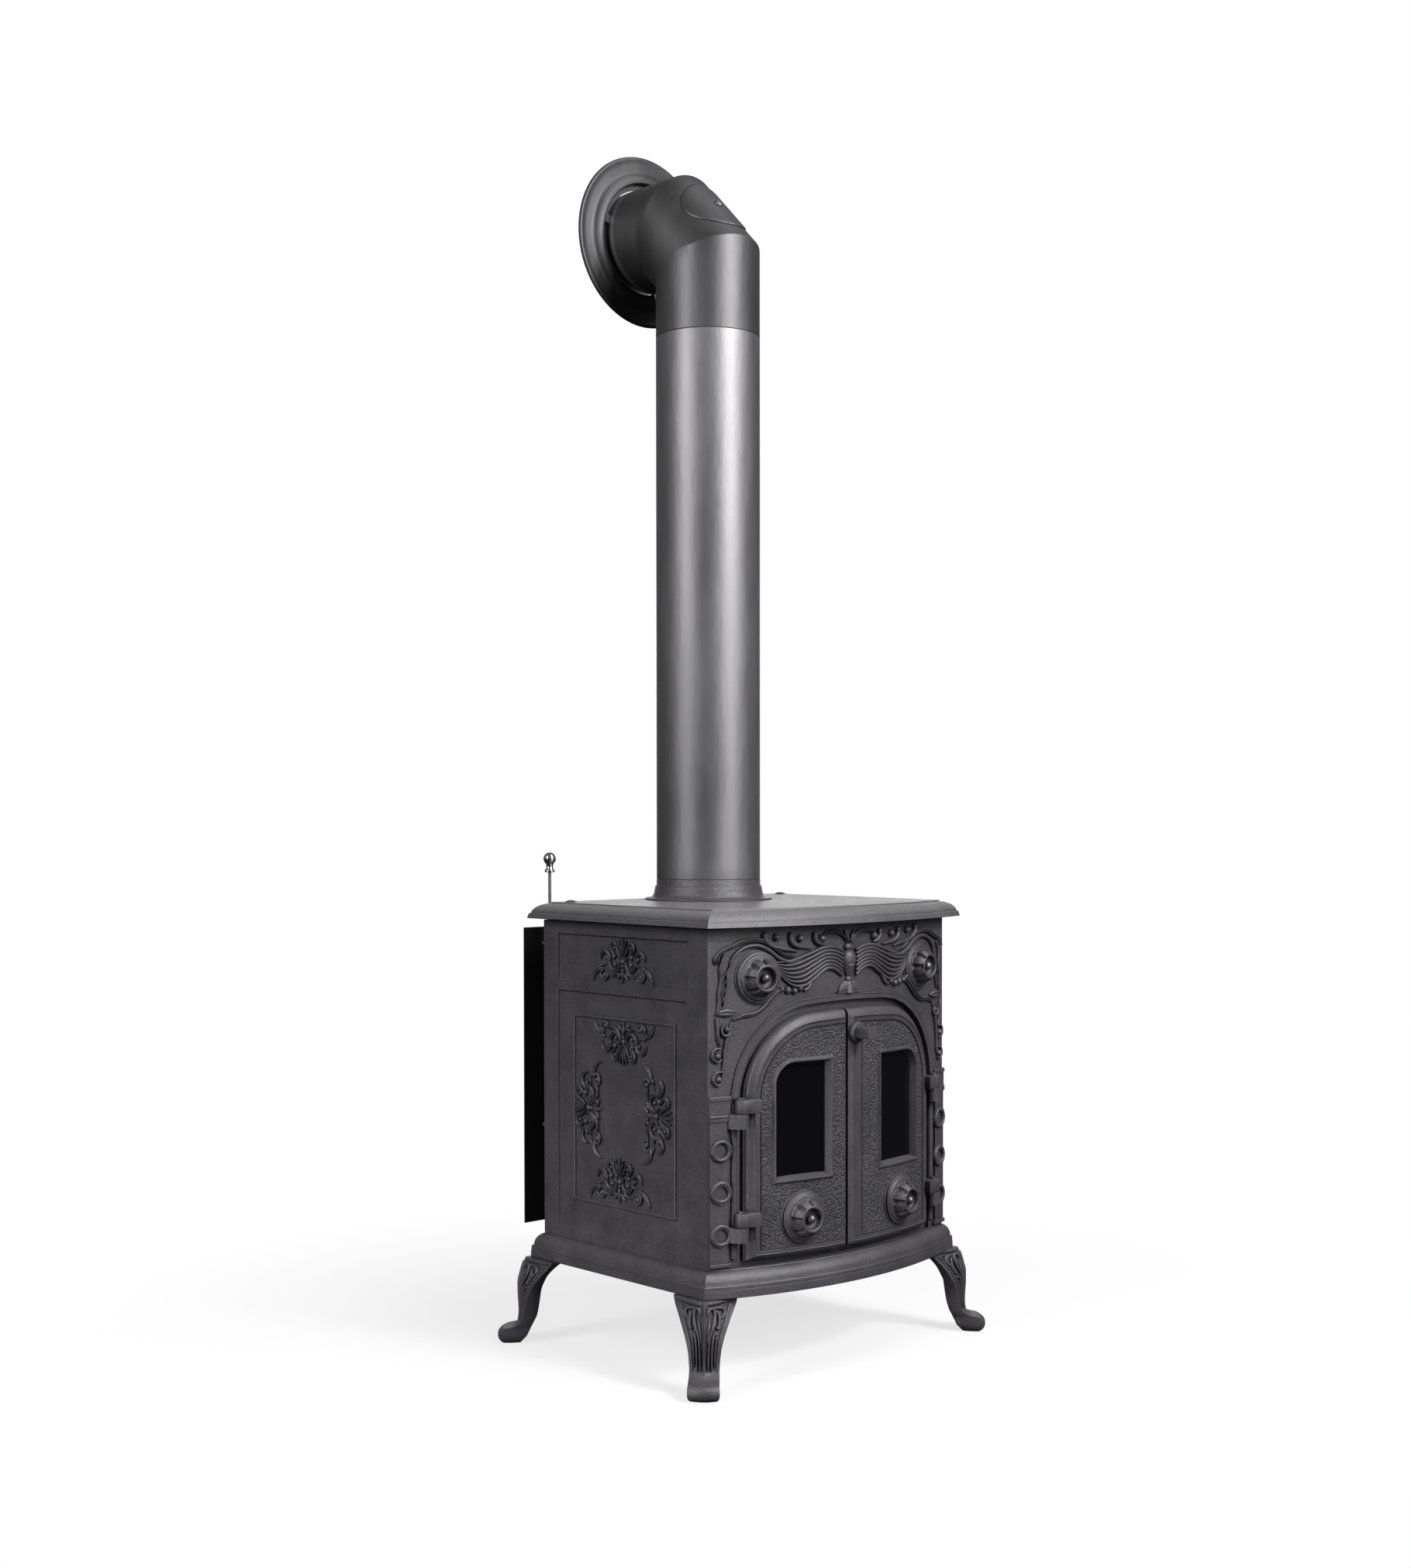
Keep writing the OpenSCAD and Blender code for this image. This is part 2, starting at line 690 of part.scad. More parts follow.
module glass_clips() for (s = [-1, 1], h = [-1, 1]) translate([0, s * (window_h / 2 + 5 + touch), 0])
    translate([h * window_w / 4, 0, 0]) {
        mirror([0, s < 0 ? 1 : 0, 0]) {
            translate([-clip_w / 2, 0, -glass_back - glass_t - clip_t])
                cube([clip_w, 9, glass_t + clip_t + glass_back - door_t - 0.7]);
            translate([-clip_w / 2, -6, -glass_back - glass_t - clip_t]) cube([clip_w, 7, clip_t]);
        }
    }

module left_glass_clips() color(steel) placed() on_door(-glass_x, glass_z) glass_clips();
module right_glass_clips() color(steel) placed() on_door(glass_x, glass_z) glass_clips();

module hinge_pins() for (z = [upper_hinge_z, lower_hinge_z]) translate([-hinge_x, hinge_y, 0]) {
    translate([0, 0, z - lug_h - touch]) cylinder(d = pin_d, h = lug_h + knuckle_h + 2 * touch + 1);
    translate([0, 0, z + knuckle_h + touch]) cylinder(r = pin_head_r, h = pin_head_h);
}

module left_hinge_pins() color(steel) placed() hinge_pins();
module right_hinge_pins() color(steel) placed() mirror([1, 0, 0]) hinge_pins();

// Rope seal in the doors' back rim, three sides of each door
seal_w = 6;

module door_seal(x0, x1) intersection() {
    bow_wall(door_back_r, frame_cy, frame_r - band_depth + touch, frame_cy, x0, x1, floor_z, rim_z);
    difference() {
        arch(-2, door_z + 2);
        arch(-2 - seal_w, door_z + 2 + seal_w);
    }
}

module left_door_seal() color("#8a867e") placed() door_seal(-door_half, -split_x - split_gap - 1);
module right_door_seal() color("#8a867e") placed() door_seal(-split_x + 1, door_half);

// ---- spin dampers ----

disc_t = 5;
band_h = 8;
dish_r = 13;
dish_z = 9.5;
stud_ball_r = 6;

// The damper's own frame: +Z outward, the disc's back at z = 0
module damper() difference() {
    union() {
        cylinder(r = disc_r, h = 3);
        cylinder(r = disc_r - 4, h = disc_t);
        translate([0, 0, disc_t - eps]) cylinder(r = knob_r, h = band_h);
        translate([0, 0, disc_t + band_h - 2 * eps])
            cylinder(r1 = knob_r, r2 = dish_r + 4, h = knob_h - disc_t - band_h);
    }
    for (i = [0:scallops - 1]) rotate([0, 0, 360 * i / scallops])
        translate([knob_r + 1.5, 0, disc_t]) cylinder(r = 4, h = knob_h, $fn = 24);
    translate([0, 0, dish_z]) cylinder(r = dish_r, h = knob_h);
    translate([0, 0, -1]) cylinder(r = stud_d / 2 + running, h = knob_h + 2);
}

// Stud through the wall: threaded end inside, ball end in the knob's dish
module stud(wall) {
    translate([0, 0, -wall - 8]) cylinder(d = stud_d, h = wall + 8 + dish_z + stud_ball_r);
    translate([0, 0, dish_z + touch + stud_ball_r]) sphere(r = stud_ball_r, $fn = 32);
    translate([0, 0, -wall - 6]) cylinder(r = 7, h = 6 - touch, $fn = 6);
}

module at_lower(side) on_door(side * lower_x, lower_z, seat_h + touch) children();
module at_upper(side) on_frame(side * upper_x, upper_z, seat_h + touch) children();

module damper_lower_left() color(iron) placed() at_lower(-1) damper();
module damper_lower_right() color(iron) placed() at_lower(1) damper();
module damper_upper_left() color(iron) placed() at_upper(-1) damper();
module damper_upper_right() color(iron) placed() at_upper(1) damper();
module stud_lower_left() color(steel) placed() at_lower(-1) stud(door_t + seat_h + touch);
module stud_lower_right() color(steel) placed() at_lower(1) stud(door_t + seat_h + touch);
module upper_studs() color(steel) placed() for (s = [-1, 1]) at_upper(s)
    stud(frame_t + seat_h + touch);

// ---- latch ----

latch_face = door_cy - door_r - 1;
tongue_t = 6;
tongue_l = 30;
latch_play = 2.5;
tongue_in = door_proud + 1 + touch + frame_t + latch_play;
module latch_spindle() color(iron) placed() translate([latch_x, latch_face - touch, latch_z])
    rotate([90, 0, 0]) {
        cylinder(d = boss_d, h = collar_t);
        translate([-square_w / 2, -square_w / 2, collar_t - eps]) cube([square_w, square_w, square_l]);
        translate([0, 0, -tongue_in - tongue_t]) cylinder(d = stud_d, h = tongue_in + tongue_t + 1);
    }

// Unlatched the tongue points right; turned up, it catches behind the frame above the doors
module latch_tongue() color(iron) placed() translate([latch_x, latch_face - touch, latch_z])
    rotate([90, 0, 0]) translate([0, 0, -tongue_in - tongue_t]) difference() {
        union() {
            cylinder(r = 10, h = tongue_t);
            translate([0, -5, 0]) cube([tongue_l, 10, tongue_t]);
        }
        translate([0, 0, -1]) cylinder(d = stud_d, h = tongue_t + 2);
    }

// ---- flue ----

crimp = 1;

module flue_collar() color(iron) placed() translate([0, pipe_y, 0]) difference() {
    rotate_extrude() polygon([[bore_r - 3, top_z], [collar_r, top_z], [collar_r, top_z + 2.5],
        [pipe_r + 10, top_z + 2.5], [pipe_r + 4, top_z + 9], [pipe_r + 2, top_z + 20],
        [pipe_r, top_z + 22], [pipe_r, pipe_z], [sleeve_r, pipe_z], [sleeve_r, pipe_z + sleeve_l],
        [bore_r - 3, pipe_z + sleeve_l]]);
    translate([0, 0, top_z + 13]) rotate([90, 0, 0]) cylinder(d = 6, h = 100);
}

module collar_screw() color(steel) placed() translate([0, pipe_y, top_z + 13]) rotate([90, 0, 0])
    difference() {
        translate([0, 0, bore_r - 2]) cylinder(d = 6, h = pipe_r + 3.4 - bore_r + 2);
        translate([0, 0, pipe_r + 1]) cylinder(r = 1.7, h = 5, $fn = 6);
    }

module flue_pipe() color(steel) placed() translate([0, pipe_y, pipe_z + eps])
    tube(pipe_r, bore_r, pipe_l - eps);

// One straight leg of the mitred elbow: a long tube cut to its slab in the side view; gap pulls
// the middle leg back from its two mitre faces
module elbow_leg(i, gap = 0) {
    t = tan(22.5);
    reach = pipe_r + 20;
    long = 4 * elbow_h;
    lo = [[pipe_y - reach, mitre_z + reach * t], [pipe_y + reach, mitre_z - reach * t]];
    hi = [[mitre_y - reach * t, outlet_z + reach], [mitre_y + reach * t, outlet_z - reach]];
    g = [gap, gap];
    if (i == 0) intersection() {
        translate([0, pipe_y, pipe_top - 1]) tube(pipe_r, bore_r, long);
        side_slab([[pipe_y - reach, pipe_top], lo[0], lo[1], [pipe_y + reach, pipe_top]]);
    }
    if (i == 1) intersection() {
        translate(hatch_mid) rotate([-45, 0, 0]) translate([0, 0, -long / 2])
            tube(pipe_r, bore_r, long);
        side_slab([lo[0] + g, hi[0] - g, hi[1] - g, lo[1] + g]);
    }
    if (i == 2) intersection() {
        translate([0, elbow_end_y - long, outlet_z]) rotate([-90, 0, 0])
            tube(pipe_r, bore_r, long + 1);
        side_slab([hi[0], [elbow_end_y, outlet_z + reach], [elbow_end_y, outlet_z - reach], hi[1]]);
    }
}

module side_slab(points) rotate([90, 0, 90]) translate([0, 0, -120]) linear_extrude(240)
    polygon(points);

module at_hatch() translate(hatch_mid) rotate([45, 0, 0]) children();

module elbow_riser() color(steel) placed() {
    elbow_leg(0);
    translate([0, pipe_y, pipe_top - sleeve_l]) tube(sleeve_r, sleeve_r - sleeve_t, sleeve_l);
    difference() {
        translate([0, pipe_y, pipe_top - eps]) cylinder(r = bore_r + 1, h = 8);
        translate([0, pipe_y, pipe_top - 1]) cylinder(r = sleeve_r - sleeve_t, h = 10);
    }
}

module elbow_slant() color(steel) placed() {
    difference() {
        elbow_leg(1, 2 * eps);
        at_hatch() cylinder(r = hatch_hole_r, h = 100);
    }
    at_hatch() difference() {
        translate([-bridge_x, -8, bridge_z - 2]) cube([2 * bridge_x, 16, 4]);
        translate([0, 0, bridge_z - 3]) cylinder(d = 6 + 2 * running, h = 6);
    }
}

module elbow_outlet() color(steel) placed() elbow_leg(2);

module elbow_hatch() color(steel) placed() at_hatch() difference() {
    intersection() {
        rotate([90, 0, 0]) translate([0, 0, -70]) tube(pipe_r + touch + hatch_t, pipe_r + touch, 140);
        cylinder(r = hatch_r, h = 100);
    }
    cylinder(d = 6, h = 100);
}

module hatch_screw() color(steel) placed() at_hatch() {
    translate([0, 0, 14]) cylinder(d = 6, h = pipe_r + hatch_t + touch - 14);
    translate([0, 0, pipe_r + hatch_t + touch]) cylinder(r = 6, h = 3);
}

module wall_pipe() color(steel) placed() translate([0, 0, outlet_z]) rotate([-90, 0, 0]) {
    translate([0, 0, elbow_end_y + eps]) tube(pipe_r, bore_r, wall_y - elbow_end_y - eps);
    translate([0, 0, wall_y - 2]) tube(pipe_r - crimp, bore_r - crimp, outlet_l + 2);
    translate([0, 0, elbow_end_y - wall_sleeve])
        tube(sleeve_r, sleeve_r - sleeve_t, wall_y - elbow_end_y + wall_sleeve + 2);
}

rosette_hole = pipe_r + 9;

module wall_rosette() color(black) placed() translate([0, wall_y, outlet_z]) rotate([90, 0, 0])
    rotate_extrude() polygon([[rosette_hole, 0], [rosette_hole + 1.5, 0], [rosette_hole + 1.5, 8.5],
        [rosette_hole + 3, 9.5], [rosette_r - 29, 7], [rosette_r - 26, 3], [rosette_r - 8, 1.5],
        [rosette_r - 6, 0], [rosette_r, 0], [rosette_r, 4], [rosette_r - 6, 4.5],
        [rosette_r - 8, 3.5], [rosette_r - 24, 5], [rosette_r - 28, 9], [rosette_hole + 3, 11.5],
        [rosette_hole, 10.5]]);

module rosette_springs() color(nickel) placed() for (a = [45, 165, 285])
    translate([0, wall_y - 1, outlet_z]) rotate([0, a, 0])
        translate([-6, -8, pipe_r + eps]) cube([12, 8, rosette_hole - pipe_r - 0.4]);

// ---- heat shield ----

module heat_shield() color(black) placed() difference() {
    box(-half_w, half_w, shield_y + eps, shield_y + shield_t, floor_z + 6, rim_z - 13);
    at_shield_bolts() cylinder(d = 5, h = shield_gap + shield_t + 1);
}

module shield_spacers() color(steel) placed() at_shield_bolts() {
    translate([0, 0, eps]) cylinder(r = 6, h = shield_gap - eps);
    translate([0, 0, -panel_t]) cylinder(d = 5, h = panel_t + shield_gap + shield_t + eps);
    translate([0, 0, shield_gap + shield_t + eps]) cylinder(r = 5, h = 2.5);
}

// ---- air control ----

module control_rod() color(steel) placed() translate([-rod_x, rod_y, 0]) {
    translate([0, 0, shutter_z]) cylinder(d = rod_d, h = ball_z - shutter_z - ball_d / 2 - 4);
    translate([0, 0, shutter_z + 17]) cylinder(r = rod_d, h = 2);
}

module rod_knob() color(nickel) placed() translate([-rod_x, rod_y, 0]) difference() {
    union() {
        translate([0, 0, ball_z]) sphere(d = ball_d);
        translate([0, 0, ball_z - ball_d / 2 - 7]) cylinder(d1 = 15, d2 = 10, h = 10);
    }
    translate([0, 0, ball_z - ball_d / 2 - 8]) cylinder(d = rod_d, h = 4);
}

module rod_guides() color(iron) placed() at_rod_guides() difference() {
    union() {
        translate([-guide_w / 2, eps, 0]) cube([guide_w, guide_plate, guide_h]);
        translate([-guide_w / 2, eps, 0]) cube([guide_w, rod_out + 7, 4]);
    }
    translate([0, rod_out, -1]) cylinder(d = rod_d + 2 * running, h = 6);
}

module air_shutter() color(iron) placed() translate([-rod_x, rear_y + touch, shutter_z]) {
    translate([-shutter_w / 2, 0, -shutter_w / 2]) cube([shutter_w, shutter_t, shutter_w]);
    difference() {
        translate([-6, 0, 12]) cube([12, rod_out + 6, 5 - eps]);
        translate([0, rod_out - touch, 11]) cylinder(d = rod_d, h = 7);
    }
}

// ---- firebox ----

module grate() color(black) placed() difference() {
    box(-grate_half, grate_half, front_y + 16, liner_rear - touch, grate_z - plate_t, grate_z);
    for (i = [-8:8]) box(i * 20 - 4, i * 20 + 4, front_y + 40, liner_rear - 45,
        grate_z - plate_t - 1, grate_z + 1);
}

pan_half = 150;
pan_front = 40;
pan_rear = 35;
pan_drop = 8;
pan_t = 2;
pan_lip_half = 30;

module ash_pan() color(steel) placed() difference() {
    union() {
        box(-pan_half, pan_half, front_y + pan_front, liner_rear - pan_rear, floor_z,
            grate_z - plate_t - pan_drop);
        box(-pan_lip_half, pan_lip_half, front_y + pan_front - 15, front_y + pan_front + 1,
            floor_z + 24, floor_z + 27);
    }
    box(-pan_half + pan_t, pan_half - pan_t, front_y + pan_front + pan_t,
        liner_rear - pan_rear - pan_t, floor_z + pan_t, grate_z);
}

module side_brick() box(-liner_x + touch, -liner_x + brick_t, brick_y0, brick_y1,
    grate_z - plate_t, brick_top);

module left_firebrick() color("#8d7f6b") placed() side_brick();
module right_firebrick() color("#8d7f6b") placed() mirror([1, 0, 0]) side_brick();
module rear_firebrick() color("#8d7f6b") placed() box(-grate_half, grate_half,
    liner_rear - brick_t, liner_rear - touch, grate_z, brick_top);

module baffle_plate() color(black) placed() {
    box(-liner_x + touch, liner_x - touch, front_y + baffle_front, brick_y1, brick_top, brick_top + plate_t);
    box(-grate_half, grate_half, brick_y1 - eps, liner_rear - touch, brick_top,
        brick_top + plate_t);
}

base_plate();
leg_front_left();
leg_front_right();
leg_rear_left();
leg_rear_right();
leg_bolts();
left_side_panel();
right_side_panel();
back_panel();
front_frame();
top_plate();
tie_rods();
flue_collar();
collar_screw();
flue_pipe();
elbow_riser();
elbow_slant();
elbow_outlet();
elbow_hatch();
hatch_screw();
wall_pipe();
wall_rosette();
rosette_springs();
heat_shield();
shield_spacers();
control_rod();
rod_knob();
rod_guides();
air_shutter();
left_door();
right_door();
left_glass();
right_glass();
left_glass_clips();
right_glass_clips();
left_hinge_pins();
right_hinge_pins();
left_door_seal();
right_door_seal();
damper_lower_left();
damper_lower_right();
damper_upper_left();
damper_upper_right();
stud_lower_left();
stud_lower_right();
upper_studs();
latch_spindle();
latch_tongue();
grate();
ash_pan();
baffle_plate();
left_firebrick();
right_firebrick();
rear_firebrick();
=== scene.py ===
import math
import json
import bpy
import numpy as np
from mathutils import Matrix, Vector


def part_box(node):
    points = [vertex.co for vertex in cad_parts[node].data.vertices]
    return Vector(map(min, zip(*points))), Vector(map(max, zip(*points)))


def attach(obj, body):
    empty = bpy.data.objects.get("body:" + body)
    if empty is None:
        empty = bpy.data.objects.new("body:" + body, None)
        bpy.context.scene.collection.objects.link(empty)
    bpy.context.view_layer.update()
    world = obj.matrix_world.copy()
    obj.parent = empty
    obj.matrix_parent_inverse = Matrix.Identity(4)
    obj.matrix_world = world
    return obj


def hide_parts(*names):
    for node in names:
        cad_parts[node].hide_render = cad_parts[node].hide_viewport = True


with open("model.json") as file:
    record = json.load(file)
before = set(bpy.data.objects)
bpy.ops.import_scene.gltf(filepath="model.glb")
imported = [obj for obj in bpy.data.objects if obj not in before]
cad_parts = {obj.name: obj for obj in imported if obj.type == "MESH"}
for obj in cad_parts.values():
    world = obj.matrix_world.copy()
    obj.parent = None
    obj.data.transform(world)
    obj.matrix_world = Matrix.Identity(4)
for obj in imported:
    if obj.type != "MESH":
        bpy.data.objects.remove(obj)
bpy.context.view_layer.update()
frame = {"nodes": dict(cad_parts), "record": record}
nodes = frame["nodes"]

# Shapes are worked out in millimetres round the middle of the stove's body, with Y of the body
# from -170 at the front corners to 170 at the back. The row frame lies a few millimetres off that.
body = {"halfWidth": 230.0, "frontY": -170.0, "rearY": 170.0, "floorZ": 155.0,
        "rimZ": 597.0, "topZ": 622.0, "frameBow": 31.0, "doorBow": 46.5, "doorProud": 15.5}
frameShift = body["rearY"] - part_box("back_panel")[1].y * 1000


def arcRadius(half, rise):
    # Radius of the circle that rises by rise over half a chord
    return (half * half + rise * rise) / (2 * rise)


frameR = arcRadius(body["halfWidth"], body["frameBow"])
frameCy = body["frontY"] - body["frameBow"] + frameR
doorR = arcRadius(body["halfWidth"], body["doorBow"])
doorCy = body["frontY"] - body["frameBow"] - body["doorProud"] + doorR
# The doors close on a band behind the frame's face, with a gap left for the rope seal
bandDepth, sealGap = 6, 4.3
doorBackR = frameR - bandDepth + sealGap


# ---- meshes from arrays ----

def gridFaces(rows, cols, closeRows=False, closeCols=False):
    # Quads of a rows x cols grid of points; a closed direction joins its last line to its first
    r = np.arange(rows if closeRows else rows - 1)
    c = np.arange(cols if closeCols else cols - 1)
    r, c = np.meshgrid(r, c, indexing="ij")
    r2, c2 = (r + 1) % rows, (c + 1) % cols
    return np.stack([r * cols + c, r * cols + c2, r2 * cols + c2, r2 * cols + c], -1).reshape(-1, 4)


def capFan(ring, centre):
    # Triangles from a closed ring of indices to one centre index
    ring = np.asarray(ring)
    return np.stack([ring, np.roll(ring, -1), np.full(len(ring), centre)], -1)


def signedVolume(verts, quads, tris):
    # Sum of the tetrahedra from the origin to each triangle
    t = [np.asarray(tris).reshape(-1, 3)]
    q = np.asarray(quads).reshape(-1, 4)
    t += [q[:, [0, 1, 2]], q[:, [0, 2, 3]]]
    t = np.concatenate(t).astype(int)
    a, b, c = verts[t[:, 0]], verts[t[:, 1]], verts[t[:, 2]]
    return float(np.einsum("ij,ij->i", a, np.cross(b, c)).sum())


def shell(verts, quads, tris=()):
    # A closed part, turned so that its faces point outwards
    verts = np.asarray(verts, float).reshape(-1, 3)
    quads = np.asarray(quads, int).reshape(-1, 4)
    tris = np.asarray(tris, int).reshape(-1, 3)
    if signedVolume(verts - verts.mean(0), quads, tris) < 0:
        quads, tris = quads[:, ::-1], tris[:, ::-1]
    return verts, quads, tris


def loft(points):
    # Rings of points, rows x cols x 3, closed round each ring and capped at both ends
    rows, cols = points.shape[:2]
    verts = np.concatenate([points.reshape(-1, 3), points[0].mean(0)[None], points[-1].mean(0)[None]])
    n = rows * cols
    tris = np.concatenate([capFan(np.arange(cols)[::-1], n), capFan(np.arange(n - cols, n), n + 1)])
    return shell(verts, gridFaces(rows, cols, False, True), tris)


def torus(points):
    # Rings of points that close in both directions
    rows, cols = points.shape[:2]
    return shell(points.reshape(-1, 3), gridFaces(rows, cols, True, True))


def joined(parts):
    # One part of several, each one's indices moved up by the points before it
    verts, quads, tris, n = [], [], [], 0
    for v, q, t in parts:
        verts.append(v)
        quads.append(q + n)
        tris.append(t + n)
        n += len(v)
    return np.concatenate(verts), np.concatenate(quads), np.concatenate(tris)


def mirrored(part):
    # The part's image in the plane x = 0, its faces turned round so that they still look outwards
    v, q, t = part
    return v * [-1, 1, 1], q[:, ::-1], t[:, ::-1]


def makeObject(name, parts, material, sharp=35, extra=(), faceMaterial=None):
    # Makes one object of the parts, in metres in the row frame, smooth but for its sharp edges
    v, q, t = joined(parts) if isinstance(parts, list) else parts
    v = (v - [0, frameShift, 0]) / 1000
    mesh = bpy.data.meshes.new(name)
    mesh.vertices.add(len(v))
    mesh.vertices.foreach_set("co", v.astype(np.float32).ravel())
    loops = np.concatenate([q.ravel(), t.ravel()]).astype(np.int32)
    sizes = np.concatenate([np.full(len(q), 4), np.full(len(t), 3)]).astype(np.int32)
    mesh.loops.add(len(loops))
    mesh.loops.foreach_set("vertex_index", loops)
    mesh.polygons.add(len(sizes))
    mesh.polygons.foreach_set("loop_start", np.concatenate([[0], np.cumsum(sizes)[:-1]]).astype(np.int32))
    mesh.polygons.foreach_set("loop_total", sizes)
    mesh.polygons.foreach_set("use_smooth", np.ones(len(sizes), bool))
    mesh.materials.append(material)
    for m in extra:
        mesh.materials.append(m)
    if faceMaterial is not None:
        mesh.polygons.foreach_set("material_index", np.asarray(faceMaterial, np.int32))
    mesh.update(calc_edges=True)
    mesh.validate()
    mesh.set_sharp_from_angle(angle=math.radians(sharp))
    piece = bpy.data.objects.new(name, mesh)
    bpy.context.scene.collection.objects.link(piece)
    return piece


def cutAway(piece, cutter, sharp):
    # Takes the cutter's solid out of the piece, then drops the cutter
    change = piece.modifiers.new("cut", "BOOLEAN")
    change.operation, change.solver, change.object = "DIFFERENCE", "EXACT", cutter
    mesh = bpy.data.meshes.new_from_object(piece.evaluated_get(bpy.context.evaluated_depsgraph_get()))
    piece.modifiers.remove(change)
    mesh.set_sharp_from_angle(angle=math.radians(sharp))
    piece.data = mesh
    bpy.data.objects.remove(cutter)


def putPiece(name, parts, material, rider, sharp=35, extra=(), faceMaterial=None, cutter=None):
    # Makes a visible piece, cut by the cutter's part if there is one, riding on a body
    piece = makeObject(name, parts, material, sharp, extra, faceMaterial)
    if cutter is not None:
        cutAway(piece, makeObject("cutter", cutter, material), sharp)
    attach(piece, rider)
    return piece


# ---- curves ----

def smoothCurve(keys, values, at):
    # Monotone cubic through the keys: each slope is the harmonic mean of its two neighbours'
    keys, values = np.asarray(keys, float), np.asarray(values, float)
    d = np.diff(values) / np.diff(keys)
    m = np.zeros(len(keys))
    both, product = d[:-1] + d[1:], d[:-1] * d[1:]
    m[1:-1] = np.where(product > 0, 2 * product / np.where(both == 0, 1, both), 0)
    m[0], m[-1] = d[0], d[-1]
    i = np.clip(np.searchsorted(keys, at) - 1, 0, len(keys) - 2)
    h = keys[i + 1] - keys[i]
    s = (np.asarray(at) - keys[i]) / h
    return ((1 + 2 * s) * (1 - s) ** 2 * values[i] + s * (1 - s) ** 2 * h * m[i]
            + s * s * (3 - 2 * s) * values[i + 1] + s * s * (s - 1) * h * m[i + 1])


def spline(points, count):
    # Catmull-Rom curve through the points, count samples, carried on straight past its ends
    p = np.asarray(points, float)
    spans = len(p) - 1
    ext = np.concatenate([2 * p[:1] - p[1:2], p, 2 * p[-1:] - p[-2:-1]])
    t = np.linspace(0, spans, count)
    i = np.clip(t.astype(int), 0, spans - 1)
    f = (t - i)[:, None]
    a, b, c, d = ext[i], ext[i + 1], ext[i + 2], ext[i + 3]
    return 0.5 * (2 * b + (c - a) * f + (2 * a - 5 * b + 4 * c - d) * f ** 2
                  + (3 * b - a - 3 * c + d) * f ** 3)


def alongNormals(path):
    # Unit normals of a flat path, to the left of its direction
    t = np.gradient(path, axis=0)
    t /= np.maximum(np.linalg.norm(t, axis=1, keepdims=True), 1e-9)
    return np.stack([-t[:, 1], t[:, 0]], -1)


def stroke(points, widths, height, place, crease=0.0, sink=1.0, count=None, fullness=0.5):
    # A carved stroke: half-round across, its width following widths, with rounded ends, laid on a
    # surface by place(u, v, h). A crease cuts a vein down its middle.
    count = count or 6 * len(points)
    path = spline(points, count)
    step = np.linalg.norm(np.diff(path, axis=0), axis=1)
    s = np.concatenate([[0], np.cumsum(step)])
    w = np.interp(np.linspace(0, 1, count), np.linspace(0, 1, len(widths)), widths)
    reach = np.maximum(w / 2, 0.8)
    end = np.clip(np.minimum(s, s[-1] - s) / reach, 0, 1)
    roundness = np.sqrt(np.clip(1 - (1 - end) ** 2, 0.0025, 1))
    half = w / 2 * roundness
    high = height * roundness * np.minimum(1, 0.35 + 0.65 * w / max(w))
    a = np.linspace(0, math.pi, 9)
    across = -np.cos(a)
    lift = np.sin(a) ** fullness
    if crease:
        lift = lift * (1 - crease * np.exp(-(across / 0.22) ** 2))
    across = np.concatenate([across, [1, -1]])
    n = alongNormals(path)
    u = path[:, None, 0] + n[:, None, 0] * half[:, None] * across
    v = path[:, None, 1] + n[:, None, 1] * half[:, None] * across
    h = np.concatenate([high[:, None] * lift, np.full((count, 2), -sink)], 1)
    h[:, 0] = h[:, 8] = 0
    return loft(place(u, v, h))


def boss(u, v, radius, height, place, pit=0.0, sink=1.0, segments=16):
    # A low dome on a surface, its height falling as a quarter ellipse; pit sinks its middle
    r = np.concatenate([np.linspace(0.02, 0.95, 7), [1.0, 1.0]])
    h = height * np.sqrt(np.clip(1 - r ** 2, 0, 1)) - pit * np.exp(-(r / 0.35) ** 2)
    h[-1] = -sink
    a = np.linspace(0, 2 * math.pi, segments, endpoint=False)
    uu = u + radius * r[:, None] * np.cos(a)
    vv = v + radius * r[:, None] * np.sin(a)
    return loft(place(uu, vv, np.repeat(h[:, None], segments, 1)))


def mouldingStrip(path, profile, place):
    # A closed profile of (offset, height) carried along a flat path; offset is to the path's left
    n = alongNormals(path)
    off, h = np.asarray(profile, float).T
    u = path[:, None, 0] + n[:, None, 0] * off
    v = path[:, None, 1] + n[:, None, 1] * off
    return loft(place(u, v, np.broadcast_to(h, u.shape)))


def turned(profile, origin, axis, segments=64, wave=None, start=0.0):
    # A profile of (radius, height) turned about an axis; wave(angle, radius, height) bends the radius.
    # A profile that begins and ends at radius 0 is a solid, any other one closes on itself.
    r, z = np.asarray(profile, float).T
    a = np.linspace(0, 2 * math.pi, segments, endpoint=False) + start
    rr = np.repeat(r[:, None], segments, 1)
    zz = np.repeat(z[:, None], segments, 1)
    if wave is not None:
        rr, zz = wave(a[None, :], rr, zz)
    axis = np.asarray(axis, float) / np.linalg.norm(axis)
    up = np.array([0, 0, 1.0]) if abs(axis[2]) < 0.9 else np.array([0, 1.0, 0])
    x = np.cross(up, axis)
    x /= np.linalg.norm(x)
    y = np.cross(axis, x)
    pts = (np.asarray(origin, float) + rr[...,
                                          None] * (np.cos(a)[None, :, None] * x + np.sin(a)[None, :,
                                                                                            None] * y)
           + zz[..., None] * axis)
    if r[0] < 1e-6 and r[-1] < 1e-6:
        return solidOfRings(pts)
    return torus(pts)


